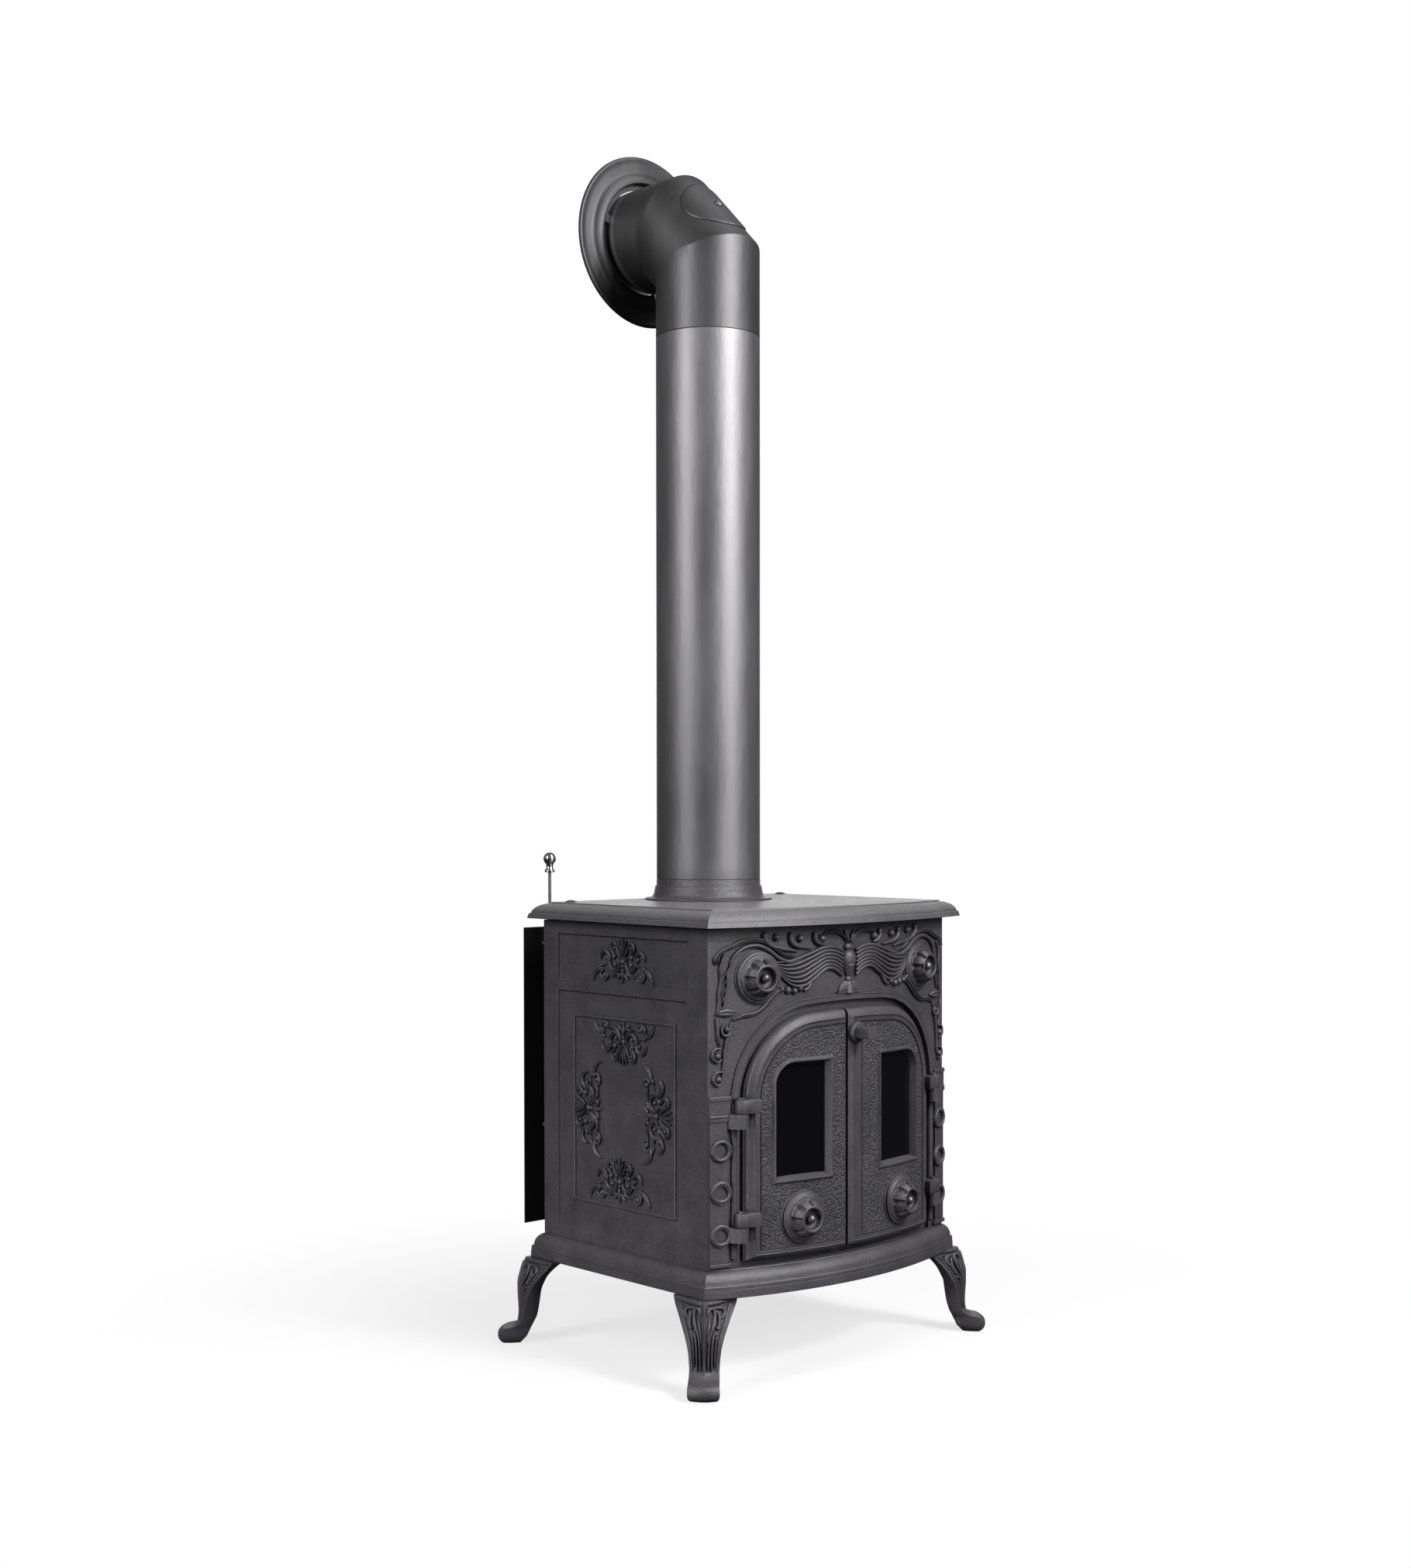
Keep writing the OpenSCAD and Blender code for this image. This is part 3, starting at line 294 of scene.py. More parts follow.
def solidOfRings(pts):
    # Rings whose first and last have shrunk to a point
    rows, cols = pts.shape[:2]
    inner = pts[1:-1]
    verts = np.concatenate([inner.reshape(-1, 3), pts[0, :1], pts[-1, :1]])
    n = (rows - 2) * cols
    tris = np.concatenate([capFan(np.arange(cols)[::-1], n), capFan(np.arange(n - cols, n), n + 1)])
    return shell(verts, gridFaces(rows - 2, cols, False, True), tris)


# ---- places on the castings ----

def onFrame(x, z, h):
    # The front frame's bow: a point h in front of the cylinder of radius frameR
    a = np.arcsin(np.clip(x / frameR, -1, 1))
    r = frameR + h
    return np.stack([r * np.sin(a), frameCy - r * np.cos(a), z + 0 * h], -1)


def onDoor(x, z, h):
    # The doors' bow: a point h in front of the cylinder of radius doorR
    a = np.arcsin(np.clip(x / doorR, -1, 1))
    r = doorR + h
    return np.stack([r * np.sin(a), doorCy - r * np.cos(a), z + 0 * h], -1)


def onSide(y, z, h):
    # The left side: a point h outside the body's flat face
    return np.stack([-body["halfWidth"] - h, y + 0 * h, z + 0 * h], -1)


# ---- materials ----

def newMaterial(name, colour, rough, metallic=0.0):
    # A principled material with its tree and shader, for nodes to be added to
    m = bpy.data.materials.new(name)
    m.use_nodes = True
    tree = m.node_tree
    bsdf = tree.nodes["Principled BSDF"]
    bsdf.inputs["Base Color"].default_value = (*colour, 1)
    bsdf.inputs["Roughness"].default_value = rough
    bsdf.inputs["Metallic"].default_value = metallic
    return m, tree, bsdf


def addNode(tree, kind, inputs=None, **settings):
    # A node whose inputs are either linked to a socket or set to a value
    node = tree.nodes.new(kind)
    for key, value in settings.items():
        setattr(node, key, value)
    for key, value in (inputs or {}).items():
        if isinstance(value, bpy.types.NodeSocket):
            tree.links.new(value, node.inputs[key])
        else:
            node.inputs[key].default_value = value
    return node


def objectCoords(tree):
    return addNode(tree, "ShaderNodeTexCoord").outputs["Object"]


def mapRange(tree, value, low, high, toLow, toHigh, **settings):
    # Carries low to high over to toLow to toHigh, held at both ends
    return addNode(tree, "ShaderNodeMapRange", {0: value, 1: low, 2: high, 3: toLow, 4: toHigh},
                   **settings).outputs[0]


def mixed(tree, share, first, second, kind="MIX"):
    return addNode(tree, "ShaderNodeMixRGB", {0: share, 1: first, 2: second}, blend_type=kind).outputs[0]


def bumped(tree, height, strength, distance, under=None):
    # A normal that follows height, laid over an earlier normal if there is one
    inputs = {"Strength": strength, "Distance": distance, "Height": height}
    if under is not None:
        inputs["Normal"] = under
    return addNode(tree, "ShaderNodeBump", inputs).outputs[0]


def ramp(tree, fac, stops):
    # Colours at stops along fac, from 0 to 1
    node = addNode(tree, "ShaderNodeValToRGB", {"Fac": fac})
    while len(node.color_ramp.elements) < len(stops):
        node.color_ramp.elements.new(0.5)
    for element, (pos, colour) in zip(node.color_ramp.elements, stops):
        element.position = pos
        element.color = (*colour, 1)
    return node.outputs["Color"]


def noise(tree, coords, scale, detail=3.0, rough=0.55):
    return addNode(tree, "ShaderNodeTexNoise", {"Vector": coords, "Scale": scale, "Detail": detail,
                                                "Roughness": rough}).outputs["Fac"]


def ironMaterial(name, dark, light, rough, grain, hammer=0.0, hammerScale=0.0, paleOnTop=0.0, paleOnTopFrom=0.35):
    # Sand-cast iron: fine grain, slow mottling, a rougher skin in patches, a paler grey on faces turned up,
    # and painted shade that darkens its hollows
    m, tree, bsdf = newMaterial(name, light, rough[0])
    coords = objectCoords(tree)
    mottle = noise(tree, coords, 22, 5, 0.6)
    colour = ramp(tree, mottle, [(0.3, dark), (0.7, light)])
    # Faces turned up are mixed towards a paler grey
    if paleOnTop:
        facing = addNode(tree, "ShaderNodeNewGeometry").outputs["Normal"]
        upward = addNode(tree, "ShaderNodeSeparateXYZ", {0: facing}).outputs["Z"]
        share = mapRange(tree, upward, paleOnTopFrom, 1.0, 0.0, paleOnTop)
        colour = mixed(tree, share, colour, (0.22, 0.215, 0.22, 1))
    # Ambient occlusion darkens the colour in creases, hollows and gaps between parts: painted shade
    hollow = addNode(tree, "ShaderNodeAmbientOcclusion", {"Distance": 0.009}, samples=8).outputs["AO"]
    shade = mapRange(tree, hollow, 0.25, 0.9, 0.2, 1.0)
    colour = mixed(tree, 1.0, colour, shade, "MULTIPLY")
    fine = noise(tree, coords, 420, 4, 0.7)
    speck = mapRange(tree, fine, 0.35, 0.65, 0.72, 1.28)
    colour = mixed(tree, 1.0, colour, speck, "MULTIPLY")
    tree.links.new(colour, bsdf.inputs["Base Color"])
    patches = noise(tree, coords, 60, 4)
    skin = mapRange(tree, patches, 0.3, 0.7, *rough)
    # Hollows are rougher too, so they shine less
    dull = mapRange(tree, hollow, 0.25, 0.8, 0.4, 0.0)
    skin = addNode(tree, "ShaderNodeMath", {0: skin, 1: dull}, operation="ADD")
    tree.links.new(skin.outputs[0], bsdf.inputs["Roughness"])
    normal = bumped(tree, fine, grain, 0.0014)
    if hammer:
        pebbles = noise(tree, coords, hammerScale, 2, 0.45)
        steep = ramp(tree, pebbles, [(0.36, (0, 0, 0)), (0.5, (0.65, 0.65, 0.65)), (0.66, (1, 1, 1))])
        normal = bumped(tree, steep, hammer, 0.0020, normal)
    tree.links.new(normal, bsdf.inputs["Normal"])
    return m


def pipeMaterial(name, share):
    # Satin stove enamel: faint vertical brushing, slow blotches and small pale scuffs; share scales its
    # colours, so that copies of one enamel paint light and shade
    m, tree, bsdf = newMaterial(name, (0.14, 0.138, 0.143), 0.47, 0.92)
    coords = objectCoords(tree)
    tall = addNode(tree, "ShaderNodeMapping", {"Vector": coords, "Scale": (1, 1, 0.25)}).outputs[0]
    blotch = noise(tree, tall, 14, 5, 0.6)
    scuff = noise(tree, coords, 75, 6, 0.7)
    low, high = (tuple(share * c for c in shade) for shade in ((0.130, 0.127, 0.132),
                                                               (0.180, 0.177, 0.182)))
    colour = ramp(tree, blotch, [(0.3, low), (0.72, high)])
    spots = ramp(tree, scuff, [(0.66, (0, 0, 0)), (0.78, (0.5, 0.5, 0.5))])
    worn = mixed(tree, spots, colour, (0.30 * share, 0.29 * share, 0.28 * share, 1))
    tree.links.new(worn, bsdf.inputs["Base Color"])
    tree.links.new(mapRange(tree, blotch, 0.3, 0.7, 0.44, 0.56), bsdf.inputs["Roughness"])
    fine = noise(tree, coords, 700, 3)
    waves = bumped(tree, blotch, 0.35, 0.004)
    tree.links.new(bumped(tree, fine, 0.12, 0.0005, waves), bsdf.inputs["Normal"])
    return m


def plainMetal(name, dark, light, rough, metallic, scale=120):
    # Blotches between two colours and two roughnesses, under a fine grain
    m, tree, bsdf = newMaterial(name, light, rough[0], metallic)
    coords = objectCoords(tree)
    blotch = noise(tree, coords, scale, 5, 0.65)
    tree.links.new(ramp(tree, blotch, [(0.3, dark), (0.7, light)]), bsdf.inputs["Base Color"])
    tree.links.new(mapRange(tree, blotch, 0.3, 0.7, *rough), bsdf.inputs["Roughness"])
    fine = noise(tree, coords, scale * 9, 3)
    tree.links.new(bumped(tree, fine, 0.1, 0.0004), bsdf.inputs["Normal"])
    return m


def glassMaterial():
    # Nearly black glass whose gloss varies with a faint haze
    m, tree, bsdf = newMaterial("smokedGlass", (0.004, 0.004, 0.005), 0.04)
    bsdf.inputs["Transmission Weight"].default_value = 0.35
    bsdf.inputs["IOR"].default_value = 1.47
    coords = objectCoords(tree)
    haze = noise(tree, coords, 9, 4, 0.6)
    tree.links.new(mapRange(tree, haze, 0.35, 0.7, 0.03, 0.12), bsdf.inputs["Roughness"])
    return m


def ropeMaterial():
    # Woven seal: bands across the rope, in colour and in bump
    m, tree, bsdf = newMaterial("ropeSeal", (0.2, 0.19, 0.17), 0.9)
    coords = objectCoords(tree)
    turned45 = addNode(tree, "ShaderNodeMapping",
                       {"Vector": coords, "Rotation": (0.6, 0.7, 0.78)}).outputs[0]
    weave = addNode(tree, "ShaderNodeTexWave", {"Vector": turned45, "Scale": 180.0, "Distortion": 1.5,
                                                "Detail": 2.0})
    tree.links.new(ramp(tree, weave.outputs["Fac"],
                        [(0.2, (0.1, 0.095, 0.085)), (0.8, (0.26, 0.25, 0.23))]),
                   bsdf.inputs["Base Color"])
    tree.links.new(bumped(tree, weave.outputs["Fac"], 0.6, 0.001), bsdf.inputs["Normal"])
    return m


print("materials")
ironLook = {"dark": (0.0378, 0.0358, 0.0413), "light": (0.0597, 0.0562, 0.0649), "rough": (0.28, 0.41)}
castIron = ironMaterial("castIron", **ironLook, grain=0.5, paleOnTop=0.06)
plateIron = ironMaterial("plateIron", **ironLook, grain=0.5, paleOnTop=0.5, paleOnTopFrom=0.12)
hammeredIron = ironMaterial("hammeredIron", **ironLook, grain=0.3, hammer=1.0, hammerScale=380.0, paleOnTop=0.1)
sootedIron = ironMaterial("sootedIron", (0.012, 0.012, 0.012), (0.022, 0.021, 0.02), (0.8, 0.95), 0.5)
firebrick = ironMaterial("firebrick", (0.10, 0.082, 0.062), (0.17, 0.14, 0.105), (0.9, 1.0), 0.6)
# One enamel at three strengths: the pipe's lighter copy is painted light, the elbow's and the rosette's
# darker copies are painted shade
pipeEnamel = pipeMaterial("pipeEnamel", 1.15)
elbowEnamelShaded = pipeMaterial("elbowEnamelShaded", 0.60)
rosetteEnamelShaded = pipeMaterial("rosetteEnamelShaded", 0.35)
# A near-black sheet, darker than the iron: its own black paint deepened by painted shade, as the sheet sits
# in shadow
blackSheetShaded = plainMetal("blackSheetShaded", (0.010, 0.010, 0.011), (0.016, 0.016, 0.017), (0.5, 0.62), 0.0, 40)
dullSteel = plainMetal("dullSteel", (0.10, 0.10, 0.105), (0.19, 0.19, 0.20), (0.38, 0.55), 0.9)
nickel = plainMetal("nickel", (0.50, 0.50, 0.51), (0.62, 0.62, 0.64), (0.10, 0.18), 1.0)
smokedGlass = glassMaterial()
ropeSeal = ropeMaterial()

slotMaterials = {"iron": castIron, "black_iron": sootedIron, "pipe": pipeEnamel, "black_sheet": blackSheetShaded,
                 "steel": dullSteel, "nickel": nickel, "glass": smokedGlass, "rope": ropeSeal,
                 "brick": firebrick}
for entry in frame["record"]["subparts"]:
    o = nodes[entry["node"]]
    o.data.materials.clear()
    o.data.materials.append(slotMaterials[entry["material_slot"]])


# ---- base and top plate ----

def planOutline(over, fullOver, frontOver, bow, counts=(24, 96, 24, 40)):
    # Left side forward, bowed front, right side back, then the rear edge: straight sides stand
    # over from the body, and the front follows a circle that shrinks with them
    half = body["halfWidth"] + over
    r = arcRadius(body["halfWidth"] + fullOver, bow)
    cy = body["frontY"] - frontOver - bow + r
    rr = r - (fullOver - over)
    yCorner = cy - math.sqrt(rr * rr - half * half)
    rear = body["rearY"] + over
    left = np.stack([np.full(counts[0], -half), np.linspace(rear, yCorner, counts[0], endpoint=False)], -1)
    a = np.linspace(-math.asin(half / rr), math.asin(half / rr), counts[1], endpoint=False)
    front = np.stack([rr * np.sin(a), cy - rr * np.cos(a)], -1)
    right = np.stack([np.full(counts[2], half), np.linspace(yCorner, rear, counts[2], endpoint=False)], -1)
    back = np.stack([np.linspace(half, -half, counts[3], endpoint=False), np.full(counts[3], rear)], -1)
    return np.concatenate([left, front, right, back])


def plateRings(profile, fullOver, frontOver, bow):
    # One ring of the outline for each (overhang, height) of the moulding
    rings = []
    for over, z in profile:
        p = planOutline(over, fullOver, frontOver, bow)
        rings.append(np.concatenate([p, np.full((len(p), 1), z)], 1))
    return np.stack(rings)


topLook = {"profile": [(-14, 600), (2.5, 599.5), (3, 599), (16.4, 599), (17, 599.6), (14.9, 606.0),
                       (14.2, 606.6),
                       (13.0, 606.3), (12.8, 607.2), (12.2, 609.4), (10.4, 612.2), (7.4, 615.2),
                       (3.2, 617.6),
                       (-1.6, 619.4), (-6.2, 620.3), (-7.3, 620.4), (-7.6, 621.3), (-8.2, 622),
                       (-9.5, 622)],
           "fullOver": 17, "frontOver": 19, "bow": 40, "holeRadius": 71, "holeY": 77, "underZ": 600.0}
baseLook = {"profile": [(-16, 148), (-14, 120.4), (13.2, 120), (14, 120.8), (13.9, 126), (13.6, 130.6),
                        (13.0, 131.2),
                        (13.4, 131.9), (13.2, 135.6), (12.5, 136.6), (11.2, 136.4), (10.8, 137.6),
                        (10.5, 141),
                        (9.3, 145), (7.2, 148.6), (4.4, 151.4), (1.6, 153.4), (-0.4, 154.2), (-0.8, 155),
                        (-10, 155)],
            "fullOver": 14, "frontOver": 9, "bow": 53}


def topPlate():
    # The moulding's rings, closed over the top to the flue hole and back along the underside
    look = topLook
    rings = plateRings(look["profile"], look["fullOver"], look["frontOver"], look["bow"])
    d = rings[-1, :, :2] - [0, look["holeY"]]
    ringDir = d / np.linalg.norm(d, axis=1, keepdims=True)
    hole = look["holeRadius"] * ringDir + [0, look["holeY"]]
    rows = [np.concatenate([hole * (1 - f) + rings[-1, :, :2] * f, np.full((len(hole), 1), body["topZ"])],
                           1)
            for f in (0.75, 0.4, 0.1, 0.0)]
    under = [np.concatenate([hole * (1 - f) + rings[0, :, :2] * f, np.full((len(hole), 1), look["underZ"])],
                            1)
             for f in (0.0, 0.5)]
    return torus(np.concatenate([rings, np.stack(rows), np.stack(under)]))


def basePlate():
    look = baseLook
    return loft(plateRings(look["profile"], look["fullOver"], look["frontOver"], look["bow"]))


piece = putPiece("topPlate", topPlate(), plateIron, "stove", 30)
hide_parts("top_plate")
piece = putPiece("basePlate", basePlate(), castIron, "stove", 30)
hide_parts("base_plate")
print("base and top")


# ---- side panels ----

sideLook = {"y0": -143.0, "y1": 155.0, "thick": 8.0, "sunk": 3.0, "edge": 2.4,
            "fields": [(-132, 139, 515, 580), (-128, 139, 170, 501)],
            "bead": (-107, 107, 210, 470), "beadWidth": 5.0, "beadHeight": 2.6}


def sideHeight(y, z):
    # Height over the panel's face: each field falls in an S from its edge, and the bead is a
    # half-round frame standing on the lower field's floor
    look = sideLook
    h = np.zeros(np.broadcast(y, z).shape)
    for a, b, c, d in look["fields"]:
        inside = np.minimum(np.minimum(y - a, b - y), np.minimum(z - c, d - z))
        s = np.clip(inside / look["edge"], 0, 1)
        h = h - look["sunk"] * s * s * (3 - 2 * s)
    a, b, c, d = look["bead"]
    inside = np.minimum(np.minimum(y - a, b - y), np.minimum(z - c, d - z))
    t = np.clip(inside / look["beadWidth"], 0, 1)
    return h + look["beadHeight"] * np.sqrt(np.clip(1 - (2 * t - 1) ** 2, 0, 1)) * ((inside > 0) & (t < 1))


def breaks(start, stop, edges, bands, step):
    # Grid lines: an even spacing, with close lines through each edge's band
    lines = [np.arange(start, stop, step), [stop]]
    for e, width in zip(edges, bands):
        lines.append(e + np.linspace(0, width, 7))
    lines = np.unique(np.round(np.concatenate(lines), 3))
    keep = np.concatenate([[True], np.diff(lines) > 0.25])
    return lines[keep]


def sidePanel():
    # A grid of heights for the face, its walls and a flat back
    look = sideLook
    e, w = look["edge"], look["beadWidth"]
    ys = [f[0] for f in look["fields"]] + [look["bead"][0]]
    ye = [f[1] for f in look["fields"]] + [look["bead"][1]]
    zs = [f[2] for f in look["fields"]] + [look["bead"][2]]
    ze = [f[3] for f in look["fields"]] + [look["bead"][3]]
    wide = [e, e, w]
    y = breaks(look["y0"], look["y1"], ys + ye, wide + [-k for k in wide], 12)
    z = breaks(body["floorZ"], body["rimZ"], zs + ze, wide + [-k for k in wide], 12)
    yy, zz = np.meshgrid(y, z, indexing="ij")
    front = onSide(yy, zz, sideHeight(yy, zz))
    ringIndex = np.concatenate([np.arange(len(z)), np.arange(1, len(y)) * len(z) + len(z) - 1,
                                (len(y) - 1) * len(z) + np.arange(len(z) - 2, -1, -1),
                                np.arange(len(y) - 2, 0, -1) * len(z)])
    verts = front.reshape(-1, 3)
    rim = verts[ringIndex] + [look["thick"], 0, 0]
    n = len(verts)
    centre = n + len(rim)
    wall = np.stack([ringIndex, np.roll(ringIndex, -1), n + (np.arange(len(rim)) + 1) % len(rim),
                     n + np.arange(len(rim))], -1)
    face = gridFaces(len(y), len(z))
    tris = capFan(np.arange(n, centre), centre)
    verts = np.concatenate([verts, rim, rim.mean(0)[None]])
    # The walls and the back run the other way round than the face, so that the shell closes
    return shell(verts, np.concatenate([face, wall[:, ::-1]]), tris[:, ::-1])


motif = {
    "strokes": [
        ([(62, 0.5), (60.5, 8), (56, 15), (48, 19), (39, 18)], [1.5, 5, 8, 8.5, 5], 3.6, 0.35),
        ([(40, 18), (45, 13), (42, 6.5), (35, 5.5), (31, 10), (35, 14)], [4, 5, 5, 4.5, 4, 2], 4.0, 0),
        ([(33, 14), (24, 11), (15, 13), (8, 20), (5, 27)], [4, 5.5, 6, 5, 3], 3.8, 0.3),
        ([(46, 31), (44, 39), (37, 43.5), (29, 40), (26, 33), (29, 26.5), (36, 25)],
         [2, 6, 7.5, 7, 6, 5, 2], 4.4, 0.35),
        ([(37, 25), (43, 24), (47, 20)], [2, 5, 3], 3.6, 0),
        ([(25, 40), (27.5, 32), (25, 23), (17, 18.5), (9, 22), (6.5, 30), (10.5, 36)],
         [2.5, 6, 7, 6.5, 6, 5, 2], 4.6, 0.35),
        ([(14, 36), (20, 42), (24, 48), (21, 54.5), (14, 54), (10.5, 48)], [3, 5, 7, 7, 6, 3], 4.6, 0.35),
        ([(3, 36), (9, 44), (15, 57)], [3, 6, 2.5], 4.6, 0.3),
        ([(1.5, 38), (4.5, 49), (8, 60)], [2.5, 5, 2.5], 4.8, 0.3),
        ([(3, 15), (8, 9), (14, 7.5)], [4, 5.5, 2], 4.0, 0),
    ],
    "middle": [([(0, 38), (0, 50), (0, 62.5)], [2.5, 5.5, 2], 5.2, 0.3),
               ([(0, 22), (0, 11), (0, 0.5)], [6, 6, 1.5], 4.2, 0.3)],
    "balls": [(37.5, 10.5, 4.6, 4.6), (18.5, 36.5, 4.2, 4.6), (31.5, 34, 3.6, 4.0), (9.5, 12.5, 3.2, 3.6),
              (17, 48.5, 3.4, 4.2), (16.5, 26, 3.6, 3.4)],
    "knots": [(0, 30, 4.6, 4.6), (0, 24, 3.4, 4.2)]}


def motifParts(place):
    # The half motif and its mirror image, with the middle leaf and drop; place takes (u, v, h)
    parts = []
    for sign in (1, -1):
        def side(u, v, h, k=sign):
            return place(k * u, v, h)
        for pts, w, h, crease in motif["strokes"]:
            parts.append(stroke(pts, [0.86 * k for k in w], 1.05 * h, side, crease))
        for u, v, r, h in motif["balls"]:
            parts.append(boss(u, v, r, h, side, segments=12))
    for pts, w, h, crease in motif["middle"]:
        parts.append(stroke(pts, w, h, place, crease))
    for u, v, r, h in motif["knots"]:
        parts.append(boss(u, v, r, h, place, segments=12))
    return parts


# Where the motifs lie: the base line's middle (y, z), the turn of their upright and their stretch
motifSpots = [(0, 516, 0, 1), (-1.5, 468, 180, 1), (7, 217, 0, 1), (43, 341.5, 90, 1.07),
              (-38, 344, -90, 1.07)]


def motifPlace(y0, z0, turn, wide):
    # A place function for a motif turned and stretched at a spot on the panel
    c, s = math.cos(math.radians(turn)), math.sin(math.radians(turn))

    def place(u, v, h):
        # Seen from outside, the panel's Y runs to the left
        right, up = wide * u * c - v * s, wide * u * s + v * c
        return onSide(y0 - right, z0 + up, h - sideLook["sunk"])
    return place


panel = sidePanel()
ornament = joined([p for spot in motifSpots for p in motifParts(motifPlace(*spot))])
for name, flip in (("left", False), ("right", True)):
    piece = putPiece(name + "SidePanel", mirrored(panel) if flip else panel, castIron, "stove", 25)
    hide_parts(name + "_side_panel")
    putPiece(name + "SideOrnament", mirrored(ornament) if flip else ornament, castIron, "stove", 40)
print("sides")


# ---- front frame: arch moulding, pilasters and header carving ----

archLook = {"half": 178.0, "springZ": 372.0, "top": 484.0, "shoulder": 110.0}


def archCurve(grow, count=80):
    # The doors' arch grown by grow: up the left side, round the shoulder, along the flat crown and
    # down the right, with points at even angles
    look = archLook
    w, r, top = look["half"] + grow, look["shoulder"] + grow, look["top"] + grow
    sx, rise = w - r, top - look["springZ"]
    big = (sx * sx + rise * rise - r * r) / (2 * (rise - r))
    cz = top - big
    lean = math.atan2(sx, look["springZ"] - cz)
    a = np.linspace(math.pi, math.pi / 2 + lean, count // 2, endpoint=False)
    left = np.stack([-sx + r * np.cos(a), look["springZ"] + r * np.sin(a)], -1)
    b = np.linspace(-lean, 0, count // 2 + 1)
    crown = np.stack([big * np.sin(b), cz + big * np.cos(b)], -1)
    half = np.concatenate([left, crown])
    return np.concatenate([half, half[-2::-1] * [-1, 1]])


archProfile = [(0.4, -7), (0.2, -2.2), (0.9, -1.4), (2.0, -1.6), (3.2, -0.6), (4.4, 1.6), (5.2, 3.0),
               (6.0, 3.4), (7.2, 3.4), (7.8, 2.8), (8.2, -1.0), (4.5, -7)]


def archMoulding():
    # The profile is carried along the arch, from capital to capital, growing outwards
    path = archCurve(11)
    path = np.concatenate([[[path[0, 0], 376.0]], path[1:-1], [[path[-1, 0], 376.0]]])
    return mouldingStrip(path, archProfile, onFrame)


def boxOn(place, u0, u1, v0, v1, h0, h1, bevel=0.8, cuts=8):
    # A bar on a surface, with small bevels along its front edges
    u = np.linspace(u0, u1, cuts)
    prof = [(v0, h0), (v0, h1 - bevel), (v0 + bevel, h1), (v1 - bevel, h1), (v1, h1 - bevel), (v1, h0)]
    uu = np.repeat(u[:, None], len(prof), 1)
    uu[0] += np.array([0, 0, bevel, bevel, 0, 0])
    uu[-1] -= np.array([0, 0, bevel, bevel, 0, 0])
    vv = np.array([p[0] for p in prof])[None] + 0 * uu
    hh = np.array([p[1] for p in prof])[None] + 0 * uu
    return loft(place(uu, vv, hh))


ringProfile = [(8.6, -1), (9.0, 1.6), (9.6, 3.0), (10.6, 3.9), (12.2, 4.2), (13.6, 3.8), (14.7, 2.6),
               (15.2, 1), (15.2, -1)]


def surfaceRing(x, z, profile, place, base, segments=48):
    # A ring of the given profile (radius, height) lying on a surface
    r, h = np.asarray(profile, float).T
    a = np.linspace(0, 2 * math.pi, segments, endpoint=False)
    return torus(place(x + r[:, None] * np.cos(a), z + r[:, None] * np.sin(a),
                       np.repeat(h[:, None] + base, segments, 1)))


pilasterLook = {"rings": (310, 256, 200), "ringX": -213, "ringBase": 3.0, "barX": -193, "outerX": -229.6}


def pilaster():
    # Rings, a half-round bar and a capital at the left edge of the frame
    look = pilasterLook
    barX, outerX = look["barX"], look["outerX"]
    parts = [surfaceRing(look["ringX"], z, ringProfile, onFrame, look["ringBase"]) for z in look["rings"]]
    parts.append(stroke([(barX, z) for z in (164, 200, 260, 340, 372)], [8.5] * 5, 4.2, onFrame,
                        count=40, fullness=0.55))
    parts.append(boxOn(onFrame, outerX, -198, 375.5, 380, -1, 4.8, 1.4))
    parts.append(boxOn(onFrame, outerX, -199, 356, 375.5, -1, 3.4))
    parts.append(boxOn(onFrame, outerX, -198.5, 351.5, 356, -1, 5.0, 1.4))
    parts.append(boxOn(onFrame, outerX, -200, 347.5, 351.5, -1, 4.0, 1.2))
    parts.append(boxOn(onFrame, outerX, -199, 158, 163, -1, 5.4))
    return parts


def ribs():
    # Seven wavy ribs that run from the vase to one point, each a share of the way from the upper
    # edge of the fan to the lower one
    upper = np.array([(-11, 561), (-28, 566.5), (-48, 567), (-70, 561), (-95, 554), (-115, 551),
                      (-133, 551)], float)
    lower = np.array([(-11, 527), (-27, 537), (-44, 539), (-62, 529), (-82, 518.5), (-105, 521),
                      (-131, 541)], float)
    parts = []
    for f in np.linspace(0, 1, 7):
        p = upper * (1 - f) + lower * f
        parts.append(stroke(p, [4.6, 5.4, 5.6, 5.4, 5.0, 4.0, 1.6], 5.6, onFrame, count=44))
    ground = np.stack([spline(upper, 30) * (1 - f) + spline(lower, 30) * f for f in np.linspace(0, 1, 7)])
    h = np.full(ground.shape[:2], 1.6)
    h[0] = h[-1] = -1
    h[:, 0] = h[:, -1] = -1
    top = onFrame(ground[..., 0], ground[..., 1], h)
    low = onFrame(ground[..., 0], ground[..., 1], h * 0 - 2.0)
    rings = np.concatenate([top.transpose(1, 0, 2), low.transpose(1, 0, 2)[:, ::-1]], 1)
    parts.append(loft(rings))
    return parts


